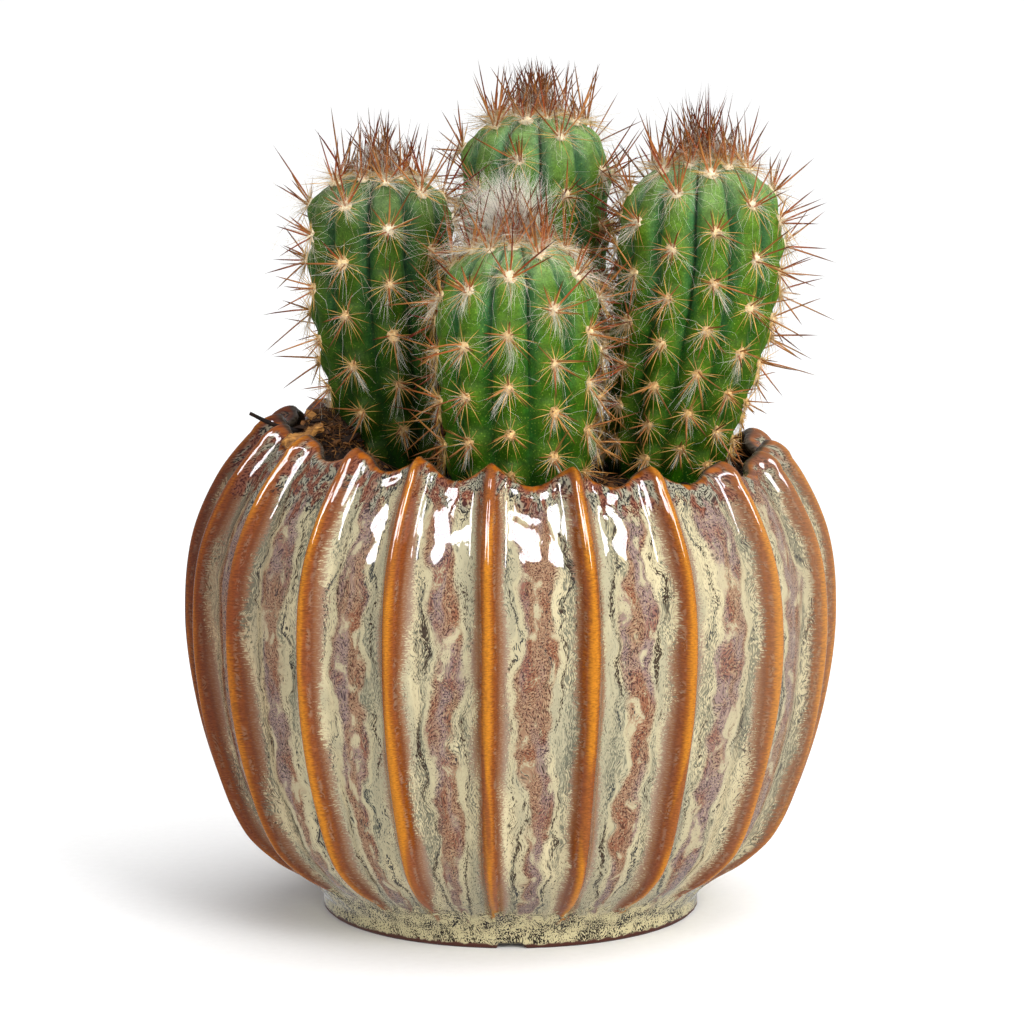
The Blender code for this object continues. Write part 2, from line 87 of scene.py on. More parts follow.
def smooth(low: float, high: float, value: Array) -> Array:
    """A smooth rise.

    Args:
        low: The value at which the rise starts.
        high: The value at which it ends.
        value: Where to read it.

    Returns:
        0 below low, 1 above high.
    """
    share = np.clip((value - low) / (high - low), 0.0, 1.0)
    return share * share * (3.0 - 2.0 * share)


def curve_through(points: tuple, place: Array) -> Array:
    """A smooth curve through points.

    Args:
        points: (place, value) pairs in rising order of place.
        place: Where to read the curve.

    Returns:
        The curve's values.
    """
    xs, ys = np.array(points, float).T
    slopes = np.empty_like(ys)
    slopes[1:-1] = (ys[2:] - ys[:-2]) / (xs[2:] - xs[:-2])
    slopes[0] = (ys[1] - ys[0]) / (xs[1] - xs[0])
    slopes[-1] = (ys[-1] - ys[-2]) / (xs[-1] - xs[-2])
    at = np.clip(np.searchsorted(xs, place, side="right") - 1, 0, len(xs) - 2)
    width = xs[at + 1] - xs[at]
    t = (place - xs[at]) / width
    square, cube = t * t, t * t * t
    return (
        (2 * cube - 3 * square + 1) * ys[at]
        + (cube - 2 * square + t) * width * slopes[at]
        + (3 * square - 2 * cube) * ys[at + 1]
        + (cube - square) * width * slopes[at + 1]
    )


def lumps(points_mm: Array, size_mm: float, seed: float) -> Array:
    """Smooth random lumps in space.

    Args:
        points_mm: Points in millimetres, three numbers each.
        size_mm: The lumps' size.
        seed: Which pattern of lumps.

    Returns:
        A height from about -1 to 1 for each point.
    """
    moved = np.asarray(points_mm, float).reshape(-1, 3) / size_mm + seed * 11.7
    return np.array([noise.noise(point) for point in moved.tolist()])


def unit(vectors: Array) -> Array:
    """Vectors made one long, along the last axis."""
    return vectors / np.maximum(np.linalg.norm(vectors, axis=-1, keepdims=True), 1e-12)


def icosphere(cuts: int) -> tuple[Array, Array]:
    """A round ball of triangles.

    Args:
        cuts: How often its faces are cut.

    Returns:
        Its vertices, each one from the middle, and its triangles.
    """
    ball = bmesh.new()
    bmesh.ops.create_icosphere(ball, subdivisions=cuts, radius=1.0)
    points = np.array([v.co[:] for v in ball.verts])
    triangles = np.array([[v.index for v in f.verts] for f in ball.faces])
    ball.free()
    return points, triangles


def copied(faces: Array, count: int, points: int) -> Array:
    """The faces of many copies of one mesh.

    Args:
        faces: The faces of one.
        count: How many copies there are.
        points: How many vertices each has.

    Returns:
        The faces of them all.
    """
    first = (np.arange(count) * points)[:, None, None]
    return (faces[None] + first).reshape(-1, faces.shape[1])


def along_axes(origin: Array, axes: tuple[Array, Array, Array], local: Array) -> Array:
    """Turns offsets along each item's own three axes into places in the frame.

    Args:
        origin: Where each item is.
        axes: Its three directions.
        local: The offsets, as (items, points, 3).

    Returns:
        The places, as (items, points, 3).
    """
    place = origin[:, None, :]
    for number, axis in enumerate(axes):
        place = place + local[..., number, None] * axis[:, None, :]
    return place


def placed(name: str, data: bpy.types.ID) -> Piece:
    """Puts a mesh, a lamp or a camera into the scene.

    Args:
        name: Its name.
        data: What it shows.

    Returns:
        The object.
    """
    item = bpy.data.objects.new(name, data)
    bpy.context.scene.collection.objects.link(item)
    return item


def linear(code: str) -> tuple[float, float, float, float]:
    """A colour as Blender's linear RGBA.

    Args:
        code: The sRGB colour as #rrggbb.

    Returns:
        Its linear red, green and blue, and 1.
    """
    parts = [int(code[i : i + 2], 16) / 255.0 for i in (1, 3, 5)]
    curve = [c / 12.92 if c <= 0.04045 else ((c + 0.055) / 1.055) ** 2.4 for c in parts]
    return (*curve, 1.0)


@dataclass(frozen=True)
class Spots:
    """A pattern of soft spots: its real size across and along, its seed and its finer detail.

    A size of 0 across gives bars that run right across. Its value from 0 to 1 can be turned into
    a drift between the two numbers of a swing, reached over its span, or into patches, whose
    numbers are the value where one starts, the value where it is whole and how strong it is.
    """

    across_mm: float
    along_mm: float
    seed: float
    detail: float = 1.0
    span: tuple = (0.3, 0.7)
    swing: tuple = ()
    patch: tuple = ()


class Graph:
    """A material's node tree, filled one node at a time."""

    # The property that the word after a kind's dot sets.
    CHOICES = {
        "Math": "operation",
        "VectorMath": "operation",
        "MapRange": "interpolation_type",
        "Mix": "data_type",
    }
    # How far a pattern moves on from one rib to the next, so that no two are alike.
    NEXT_RIB = 3.7

    def __init__(self, name: str) -> None:
        """Starts a material.

        Args:
            name: The material's name.
        """
        self.material = bpy.data.materials.new(name)
        self.material.use_nodes = True
        self.tree = self.material.node_tree
        self.tree.nodes.clear()

    def add(
        self,
        kind: str,
        inputs: tuple | dict = (),
        out: int | str | None = None,
        **settings: object,
    ) -> Socket | bpy.types.Node:
        """Adds a node with its settings and links.

        Args:
            kind: Blender's name of the node, without ShaderNode, and any choice after a dot.
            inputs: A value, hex colour or socket for each input that is in use, or by name.
            out: Which output to give back, if it isn't the first in use.
            settings: The node's own properties, and stops for a colour ramp.

        Returns:
            The output socket, or the node if it has none.
        """
        kind, _, choice = kind.partition(".")
        node = self.tree.nodes.new("ShaderNode" + kind)
        stops = settings.pop("stops", None)
        if choice:
            settings[self.CHOICES[kind]] = choice
        for key, value in settings.items():
            setattr(node, key, value)
        if isinstance(inputs, tuple):
            pairs = zip([socket for socket in node.inputs if socket.enabled], inputs)
        else:
            pairs = [(node.inputs[key], value) for key, value in inputs.items()]
        for socket, value in pairs:
            if isinstance(value, bpy.types.NodeSocket):
                self.tree.links.new(value, socket)
            else:
                socket.default_value = linear(value) if isinstance(value, str) else value
        if stops:
            elements = node.color_ramp.elements
            while len(elements) < len(stops):
                elements.new(0.5)
            for element, (place, code) in zip(elements, stops):
                element.position = place
                element.color = linear(code)
        if out is not None:
            return node.outputs[out]
        return next((socket for socket in node.outputs if socket.enabled), node)

    def mottle(self, place: Socket, spots: Spots) -> Socket:
        """A pattern of soft spots of a real size, drawn out along one way.

        Args:
            place: Millimetres across, millimetres along, and which rib.
            spots: The spots' size and seed.

        Returns:
            The swing or the patches, or else a value from 0 to 1, about 0.5 on average.
        """
        across = 1.0 / spots.across_mm if spots.across_mm else 0.0
        scale = (across, 1.0 / spots.along_mm, self.NEXT_RIB)
        offset = (spots.seed * 17.3, spots.seed * 7.1, spots.seed * 3.3)
        moved = self.add("VectorMath.MULTIPLY_ADD", (place, scale, offset))
        value = self.add("TexNoise", {"Vector": moved, "Scale": 1.0, "Detail": spots.detail})
        if spots.swing:
            return self.add("MapRange", (value, *spots.span, *spots.swing))
        if spots.patch:
            start, whole, *strength = spots.patch
            return self.add(EASE, (value, start, whole, 0.0, *strength))
        return value

    def place_mm(self) -> Socket:
        """Where each point lies on the object, in millimetres."""
        place = self.add("TexCoord", out="Object")
        return self.add("VectorMath.SCALE", (place, 1.0 / MM))

    def shaded(self, colour: Socket, value: Socket) -> Socket:
        """A colour made darker or lighter.

        Args:
            colour: The colour.
            value: 1 to leave it, less to darken it.

        Returns:
            The shaded colour.
        """
        shade = self.add("CombineXYZ", (value, value, value))
        return self.add(MIX, (1.0, colour, shade), blend_type="MULTIPLY")

    def finish(self, **values: object) -> Material:
        """Adds the surface shader and the output.

        Args:
            values: The shader's inputs, with _ for the blanks in their names.

        Returns:
            The finished material.
        """
        inputs = {key.replace("_", " "): value for key, value in values.items()}
        shader = self.add("BsdfPrincipled", inputs)
        self.add("OutputMaterial", {"Surface": shader})
        return self.material


def grid_faces(rows: int, columns: int) -> Array:
    """Quads between rings of vertices.

    Args:
        rows: How many rings.
        columns: How many vertices each ring has.

    Returns:
        Four vertex numbers a face, ring by ring.
    """
    row = np.arange(rows - 1)[:, None] * columns
    here = np.arange(columns)[None, :]
    after = (here + 1) % columns
    above = row + columns
    return np.stack([row + here, row + after, above + after, above + here], axis=-1).reshape(-1, 4)


def make_piece(
    name: str,
    points: Array,
    faces: list[Array],
    material: Material,
    values: dict[str, Array] | None = None,
    corners: dict[str, Array] | None = None,
    recalculate: bool = False,
) -> Piece:
    """One mesh object that rides on the part.

    Args:
        name: The piece's name.
        points: Its vertices.
        faces: Arrays of vertex numbers, one row a face.
        material: Its finish.
        values: A number for each vertex, by attribute name.
        corners: A vector for each face corner, by attribute name.
        recalculate: Whether Blender turns the faces outwards.

    Returns:
        The object.
    """
    mesh = bpy.data.meshes.new(name)
    rows = [row for block in faces for row in block.tolist()]
    mesh.from_pydata(np.asarray(points, float).tolist(), [], rows)
    for key, numbers in (values or {}).items():
        attribute = mesh.attributes.new(key, "FLOAT", "POINT")
        attribute.data.foreach_set("value", np.ascontiguousarray(numbers, np.float32))
    for key, vectors in (corners or {}).items():
        attribute = mesh.attributes.new(key, "FLOAT_VECTOR", "CORNER")
        attribute.data.foreach_set("vector", np.ascontiguousarray(vectors, np.float32).ravel())
    if recalculate:
        turned = bmesh.new()
        turned.from_mesh(mesh)
        bmesh.ops.recalc_face_normals(turned, faces=turned.faces)
        turned.to_mesh(mesh)
        turned.free()
    mesh.shade_smooth()
    mesh.materials.append(material)
    piece = placed(name, mesh)
    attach(piece, "root")
    log.info("%s: %d faces", name, len(mesh.polygons))
    return piece


def strand_mesh(courses: Array, radii: Array, sides: int) -> tuple[Array, list[Array], Array]:
    """Thin closed strands that taper to a tip.

    Args:
        courses: Each strand's middle line, as (strands, points, 3).
        radii: The radius at each of those points.
        sides: How many sides a strand has.

    Returns:
        The vertices, the faces, and each vertex's (strand, point) as two columns.
    """
    count, steps, _ = courses.shape
    tangents = unit(np.gradient(courses, axis=1))
    mean = np.abs(unit(courses[:, -1] - courses[:, 0]))
    reference = np.eye(3)[np.argmin(mean, axis=1)][:, None, :]
    side = unit(np.cross(tangents, reference))
    other = np.cross(tangents, side)
    turn = 2 * math.pi * np.arange(sides) / sides
    ring = (
        side[:, :, None, :] * np.cos(turn)[None, None, :, None]
        + other[:, :, None, :] * np.sin(turn)[None, None, :, None]
    )
    rings = courses[:, :, None, :] + ring * radii[:, :, None, None]
    body = rings[:, :-1].reshape(count, -1, 3)
    points = np.concatenate([body, courses[:, -1:, :]], axis=1)
    each = points.shape[1]
    here = np.arange(sides)
    last = (steps - 2) * sides
    tip = np.stack([last + here, last + (here + 1) % sides, np.full(sides, each - 1)], axis=-1)
    sheaths = (grid_faces(steps - 1, sides), tip, here[None, ::-1])
    faces = [copied(sheath, count, each) for sheath in sheaths]
    strand = np.repeat(np.arange(count), each)
    step = np.tile(np.append(np.repeat(np.arange(steps - 1), sides), steps - 1), count)
    return points.reshape(-1, 3), faces, np.stack([strand, step], axis=-1)


class GlazedStoneware:
    """Stoneware with a reactive glaze, poured over and fired until it ran.

    The glaze breaks amber where it is thin on the rib crests and pools cream, grey-green and
    rust brown between them, with dark iron specks drawn out by the flow. Glass on clay: a sharp,
    even gloss over a soft, slightly wavy surface.
    """

    AMBER = "#ad6b14"
    AMBER_DEEP = "#7f4210"
    TOAST = "#7a3f1c"
    # Painted shade along the edges of the amber crests.
    CREST_EDGE_SHADE = "#531c0a"
    RUST = "#7a432a"
    MAUVE = "#867060"
    TAN = "#8c6b53"
    FUR_BROWN = "#784a2a"
    CREAM = "#bdb18e"
    CELADON = "#a39c80"
    GREY_GREEN = "#5f5f50"
    BLUE_SPECK = "#20262d"
    BARE_CLAY = "#4a2114"
    INSIDE = "#3a332d"
    STREAM = "#b2a887"
    BAND_GREY = "#86706a"
    BAND_SHINE = "#b09a78"

    SWIRL_MM = (6.5, 8.0)
    FLOW_MM = (6.0, 7.0, 0.0)
    BAND_WIDTH = Spots(0, 19, 7, swing=(2.9, 6.0))
    BAND_WANDER = Spots(0, 34, 5, swing=(-3.2, 3.2), span=(0.25, 0.75))
    POOLS = Spots(7, 34, 1, patch=(0.42, 0.6))
    HATCH_ZONES = Spots(5, 42, 2, swing=(-0.15, 0.07), span=(0.38, 0.62))
    HATCHING = Spots(0.2, 1.1, 3, 1.5)
    STREAKS = Spots(0.9, 9, 4, swing=(0.9, 1.06))
    STREAM_EDGE = Spots(2.5, 21, 6, swing=(-1.2, 3.6))
    BAND_GRAIN = Spots(0.36, 0.52, 8, 1.5)
    BAND_BITES = Spots(3.4, 6.0, 9)
    BAND_COOL = Spots(6, 30, 10)
    BAND_RED = Spots(4, 9, 11, patch=(0.46, 0.68, 0.7))
    BAND_LIGHT = Spots(0.4, 0.6, 12, patch=(0.55, 0.64, 0.5))
    DASH_LINE = Spots(0, 17, 14, swing=(0.6, 3.4))
    DASH_BREAKS = Spots(0, 12, 15, patch=(0.3, 0.5))
    DASH_FIELDS = Spots(4, 24, 16, patch=(0.5, 0.68))
    DASHES = Spots(0.2, 1.0, 17, 1.5)
    DASH_BLUE = Spots(8, 30, 18, patch=(0.45, 0.6))
    CREST_WIDTH = Spots(0, 36, 20, swing=(1.9, 3.0))
    FUR_STROKES = Spots(0.8, 0.34, 21, 1.5)
    FUR_LENGTH = Spots(7, 24, 22, swing=(0.4, 3.2), span=(0.32, 0.68))
    TOAST_RUNS = Spots(4, 46, 23, patch=(0.53, 0.64, 0.8))
    AMBER_GRAIN = Spots(0.9, 0.32, 24, swing=(0.66, 1.2))
    RIM_REACH = Spots(3, 8, 30, swing=(2.0, 9.5))
    RIM_GRAIN = Spots(0.42, 0.7, 31, 1.5)
    RIM_COOL = Spots(3, 5, 32, patch=(0.44, 0.58))
    RIM_WAVE = Spots(3.5, 3.5, 34, swing=(0.0, 1.3))
    RIM_FINE = Spots(3.0, 2.5, 35, patch=(0.36, 0.62))
    FOOT_SPOTS = Spots(0.5, 0.5, 36, 1.5)
    FOOT_BUSY = Spots(7, 4, 37, swing=(-0.06, 0.07), span=(0.35, 0.65))
    FOOT_EDGE = Spots(3.5, 3.5, 39, swing=(-3.0, 3.0))
    LINING = Spots(0.8, 0.8, 38, 2, patch=(0.4, 0.6))
    RIPPLE = Spots(2.6, 4.5, 41)

    def __init__(self) -> None:
        """Finds where each point lies in the glaze's run, in millimetres."""
        self.g = g = Graph("glazed_stoneware")
        self.valley = g.add("Attribute", out="Vector", attribute_name="valley_place")
        self.crest = g.add("Attribute", out="Vector", attribute_name="crest_place")
        scale = (1 / self.SWIRL_MM[0], 1 / self.SWIRL_MM[1], g.NEXT_RIB)
        swirl = g.add("VectorMath.MULTIPLY", (self.valley, scale))
        swirl = g.add("TexNoise", {"Vector": swirl, "Scale": 1.0, "Detail": 1.5}, out="Color")
        middle = tuple(-0.5 * part for part in self.FLOW_MM)
        swirl = g.add("VectorMath.MULTIPLY_ADD", (swirl, self.FLOW_MM, middle))
        self.run = g.add("VectorMath.ADD", (self.valley, swirl))
        self.from_crest = g.add("Math.ABSOLUTE", (g.add("SeparateXYZ", (self.crest,)),))
        rim = g.add("Attribute", out="Vector", attribute_name="rim_place")
        self.below_rim, self.height, self.inside = g.add("SeparateXYZ", (rim,)).node.outputs
        slow = g.mottle(self.run, self.BAND_WANDER)
        off = g.add("Math.SUBTRACT", (g.add("SeparateXYZ", (self.run,)), slow))
        self.off = g.add("Math.ABSOLUTE", (off,))
        half = g.mottle(self.run, self.BAND_WIDTH)
        taper = g.add("MapRange", (self.height, 15.0, 90.0, 0.7, 1.08))
        self.half = g.add("Math.MULTIPLY", (half, taper))
        self.place = g.add("TexCoord", out="Object")
        self.sideways = g.add("SeparateXYZ", (self.place,))
        self.colour: Socket | None = None

    def build(self) -> Material:
        """Lays the glaze's colours one over another, each layer on the colour so far.

        Returns:
            The material.
        """
        self._field()
        self._stream()
        self._band()
        self._dashes()
        self._fur()
        self._rim()
        self._ends()
        self._painted_side_shade()
        g = self.g
        lining = g.mottle(self.valley, self.LINING)
        lining = g.add(MIX, (lining, self.INSIDE, "#574d44"))
        colour = g.add(MIX, (self.inside, self.colour, lining))
        ripple = g.mottle(self.run, self.RIPPLE)
        bump = g.add("Bump", {"Height": ripple, "Distance": 0.12 * MM, "Strength": 0.6})
        wet = g.add("MapRange", (self.height, 1.0, 1.6, 0.6, 0.04))
        return g.finish(
            Base_Color=colour, Roughness=wet, IOR=1.5, Specular_IOR_Level=0.42, Normal=bump
        )

    def _field(self) -> None:
        """The cream and grey-green glaze that pools between the ribs, with fine grey hatching."""
        g, run = self.g, self.run
        colour = g.add(MIX, (g.mottle(run, self.POOLS), self.CREAM, self.CELADON))
        zone = g.mottle(run, self.HATCH_ZONES)
        beside = g.add("Math.ABSOLUTE", (self.sideways,))
        beside = g.add(EASE, (beside, 0.045, 0.08, 0.0, 0.09))
        zone = g.add("Math.ADD", (zone, beside))
        hatch = g.add("Math.ADD", (g.mottle(run, self.HATCHING), zone))
        hatch = g.add(EASE, (hatch, 0.49, 0.6, 0.0, 0.9))
        colour = g.add(MIX, (hatch, colour, self.GREY_GREEN))
        self.colour = g.shaded(colour, g.mottle(run, self.STREAKS))

    def _stream(self) -> None:
        """The smooth cream glaze that ran down on both sides of the rust band."""
        g, run = self.g, self.run
        reach = g.add("Math.ADD", (self.half, g.mottle(run, self.STREAM_EDGE)))
        depth = g.add("Math.SUBTRACT", (reach, self.off))
        mask = g.add(EASE, (depth, -0.3, 0.7, 0.0, 0.85))
        self.colour = g.add(MIX, (mask, self.colour, self.STREAM))

    def _band(self) -> None:
        """The rust and tan band that runs down each valley, speckled and wavy at its edges."""
        g, run = self.g, self.run
        grain = g.mottle(run, self.BAND_GRAIN)
        ragged = g.add("MapRange", (grain, 0.2, 0.8, -0.8, 0.8))
        edge = g.add("Math.ADD", (self.half, ragged))
        depth = g.add("Math.SUBTRACT", (edge, self.off))
        mask = g.add(EASE, (depth, -0.6, 1.0))
        bites = g.add("Math.MULTIPLY_ADD", (grain, 0.35, g.mottle(run, self.BAND_BITES)))
        bites = g.add(EASE, (bites, 0.88, 0.74, 0.12))
        mask = g.add("Math.MULTIPLY", (mask, bites))
        beside = g.add(EASE, (self.sideways, 0.02, 0.07, 0.0, 0.12))
        cool = g.add("Math.ADD", (g.mottle(run, self.BAND_COOL), beside))
        cool = g.add(EASE, (cool, 0.45, 0.62))
        ground = g.add(MIX, (cool, self.TAN, self.BAND_GREY))
        ground = g.add(MIX, (g.mottle(run, self.BAND_RED), ground, self.RUST))
        fleck = g.add(MIX, (cool, "#40211a", "#3a2b2f"))
        fine = g.add(EASE, (grain, 0.49, 0.59, 0.0, 0.92))
        colour = g.add(MIX, (fine, ground, fleck))
        colour = g.add(MIX, (g.mottle(run, self.BAND_LIGHT), colour, self.BAND_SHINE))
        self.colour = g.add(MIX, (mask, self.colour, colour))

    def _dashes(self) -> None:
        """Short black iron dashes, which gather in wandering lines beside the band."""
        g, run = self.g, self.run
        apart = g.add("Math.ADD", (self.half, g.mottle(run, self.DASH_LINE)))
        gap = g.add("Math.SUBTRACT", (self.off, apart))
        gap = g.add("Math.ABSOLUTE", (gap,))
        line = g.add("MapRange", (gap, 1.1, 0.1))
        line = g.add("Math.MULTIPLY", (line, g.mottle(run, self.DASH_BREAKS)))
        dense = g.mottle(run, self.DASH_FIELDS)
        low = g.add("MapRange", (self.height, 42.0, 8.0, 0.0, 0.85))
        ease = g.add("Math.MAXIMUM", (dense, low))
        ease = g.add("Math.MULTIPLY", (ease, 0.11))
        ease = g.add("Math.MULTIPLY_ADD", (line, 0.2, ease))
        dash = g.add("Math.ADD", (g.mottle(run, self.DASHES), ease))
        mask = g.add(EASE, (dash, 0.66, 0.72, 0.0, 0.95))
        speck = g.add(MIX, (g.mottle(run, self.DASH_BLUE), "#2b1a12", self.BLUE_SPECK))
        self.colour = g.add(MIX, (mask, self.colour, speck))

    def _fur(self) -> None:
        """The amber crest of each rib and the brown fur of specks that fades from it."""
        g, crest = self.g, self.crest
        wide = g.mottle(crest, self.CREST_WIDTH)
        stroke = g.mottle(crest, self.FUR_STROKES)
        ragged = g.add("MapRange", (stroke, 0.25, 0.75, -1.0, 1.0))
        out = g.add("Math.SUBTRACT", (self.from_crest, wide))
        long = g.mottle(crest, self.FUR_LENGTH)
        less = g.add(EASE, (self.sideways, 0.05, 0.085, 0.0, 2.2))
        long = g.add("Math.SUBTRACT", (long, less))
        fur = g.add("Math.MULTIPLY_ADD", (ragged, 1.5, long))
        fur = g.add("Math.SUBTRACT", (fur, out))
        mask = g.add(EASE, (fur, -1.0, 1.0))
        far = g.add(EASE, (out, 0.2, 3.2))
        furred = g.add(MIX, (far, self.FUR_BROWN, self.MAUVE))
        light = g.add(EASE, (stroke, 0.5, 0.62, 0.0, 0.45))
        furred = g.add(MIX, (light, furred, "#9a8068"))
        colour = g.add(MIX, (mask, self.colour, furred))
        edge = g.add("Math.MULTIPLY_ADD", (ragged, 0.4, wide))
        inner = g.add("Math.SUBTRACT", (edge, self.from_crest))
        core = g.add(EASE, (inner, 0.6, 2.1))
        amber = g.add(MIX, (core, self.AMBER_DEEP, self.AMBER))
        amber = g.add(MIX, (g.mottle(crest, self.TOAST_RUNS), amber, self.TOAST))
        amber = g.shaded(amber, g.mottle(crest, self.AMBER_GRAIN))
        amber_mask = g.add(EASE, (inner, -0.3, 0.5))
        # Painted shade: a thin dark line along both edges of the amber crest.
        painted_edge_shade = g.add(EASE, (inner, -0.9, -0.1, 0.0, 0.5))
        colour = g.add(MIX, (painted_edge_shade, colour, self.CREST_EDGE_SHADE))
        self.colour = g.add(MIX, (amber_mask, colour, amber))

    def _rim(self) -> None:
        """Dark red and blue-black specks under the rim, and the thin amber line on its edge."""
        g, run, below_rim = self.g, self.run, self.below_rim
        reach = g.mottle(run, self.RIM_REACH)
        grain = g.mottle(run, self.RIM_GRAIN)
        ragged = g.add("MapRange", (grain, 0.25, 0.75, -3.2, 3.2))
        left = g.add(EASE, (self.sideways, -0.03, -0.075, 0.0, 9.0))
        reach = g.add("Math.ADD", (reach, left))
        depth = g.add("Math.ADD", (reach, ragged))
        depth = g.add("Math.SUBTRACT", (depth, below_rim))
        mask = g.add(EASE, (depth, -1.2, 1.2))
        cool = g.mottle(run, self.RIM_COOL)
        dark = g.add(MIX, (cool, "#45201a", "#25221f"))
        light = g.add(MIX, (cool, "#7d4c38", "#94907c"))
        fleck = g.add(EASE, (grain, 0.47, 0.57))
        speckled = g.add(MIX, (fleck, light, dark))
        on_crest = g.add(EASE, (self.from_crest, 2.6, 1.4))
        shade = g.add(EASE, (below_rim, 8.0, 1.0, 0.0, 0.15))
        worn = g.add(MIX, (shade, self.colour, "#6b3416"))
        over = g.add(MIX, (on_crest, speckled, worn))
        full = g.add("Math.MAXIMUM", (mask, on_crest))
        colour = g.add(MIX, (full, self.colour, over))
        line = g.add("Math.SUBTRACT", (g.mottle(run, self.RIM_WAVE), below_rim))
        line = g.add(EASE, (line, -0.3, 0.6, 0.0, 0.92))
        edge = g.add(MIX, (g.mottle(self.crest, self.RIM_FINE), "#6a300c", "#a0560e"))
        self.colour = g.add(MIX, (line, colour, edge))

    def _ends(self) -> None:
        """The speckled cream foot and the bare clay line under it."""
        g, run = self.g, self.run
        spots = g.mottle(run, self.FOOT_SPOTS)
        spots = g.add("Math.ADD", (spots, g.mottle(run, self.FOOT_BUSY)))
        spots = g.add(EASE, (spots, 0.5, 0.57))
        footed = g.add(MIX, (spots, "#bdb28a", "#262019"))
        edge = g.mottle(run, self.FOOT_EDGE)
        level = g.add("Math.ADD", (self.height, edge))
        foot = g.add(EASE, (level, 12.5, 9.0))
        colour = g.add(MIX, (foot, self.colour, footed))
        level = g.add("Math.MULTIPLY_ADD", (edge, 0.1, self.height))
        clay = g.add(EASE, (level, 1.5, 1.0))
        self.colour = g.add(MIX, (clay, colour, self.BARE_CLAY))

    def _painted_side_shade(self) -> None:
        """Painted shade: dark on faces turned into the pot, darker and redder on the left and the
        back left, away from the light, and greyer on the right.
        """
        g = self.g
        # Painted shade: faces turned in towards the axis, inside the pot, are darkened nearly to
        # black.
        outward = g.add("VectorMath.MULTIPLY", (self.place, (1.0, 1.0, 0.0)))
        outward = g.add("VectorMath.NORMALIZE", (outward,))
        facing = g.add("TexCoord", out="Normal")
        facing = g.add("VectorMath.DOT_PRODUCT", (facing, outward))
        inside = g.add(EASE, (facing, 0.25, -0.2, 0.0, 0.92))
        colour = g.add(MIX, (inside, self.colour, "#332722"))
        # Painted shade: the back left quarter, away from the light, is darkened.
        back = self.sideways.node.outputs["Y"]
        behind = g.add(EASE, (back, -0.012, 0.01, 0.0, 0.75))
        aside = g.add(EASE, (self.sideways, -0.02, -0.045))
        behind = g.add("Math.MULTIPLY", (behind, aside))
        colour = g.add(MIX, (behind, colour, "#8c5236"), blend_type="MULTIPLY")
        # Painted shade: the left side, away from the light, is darkened and reddened.
        left = g.add(EASE, (self.sideways, -0.05, -0.088, 0.0, 0.5))
        colour = g.add(MIX, (left, colour, "#b0785a"), blend_type="MULTIPLY")
        right = g.add(EASE, (self.sideways, 0.04, 0.085, 0.0, 0.2))
        self.colour = g.add(MIX, (right, colour, "#948670"))


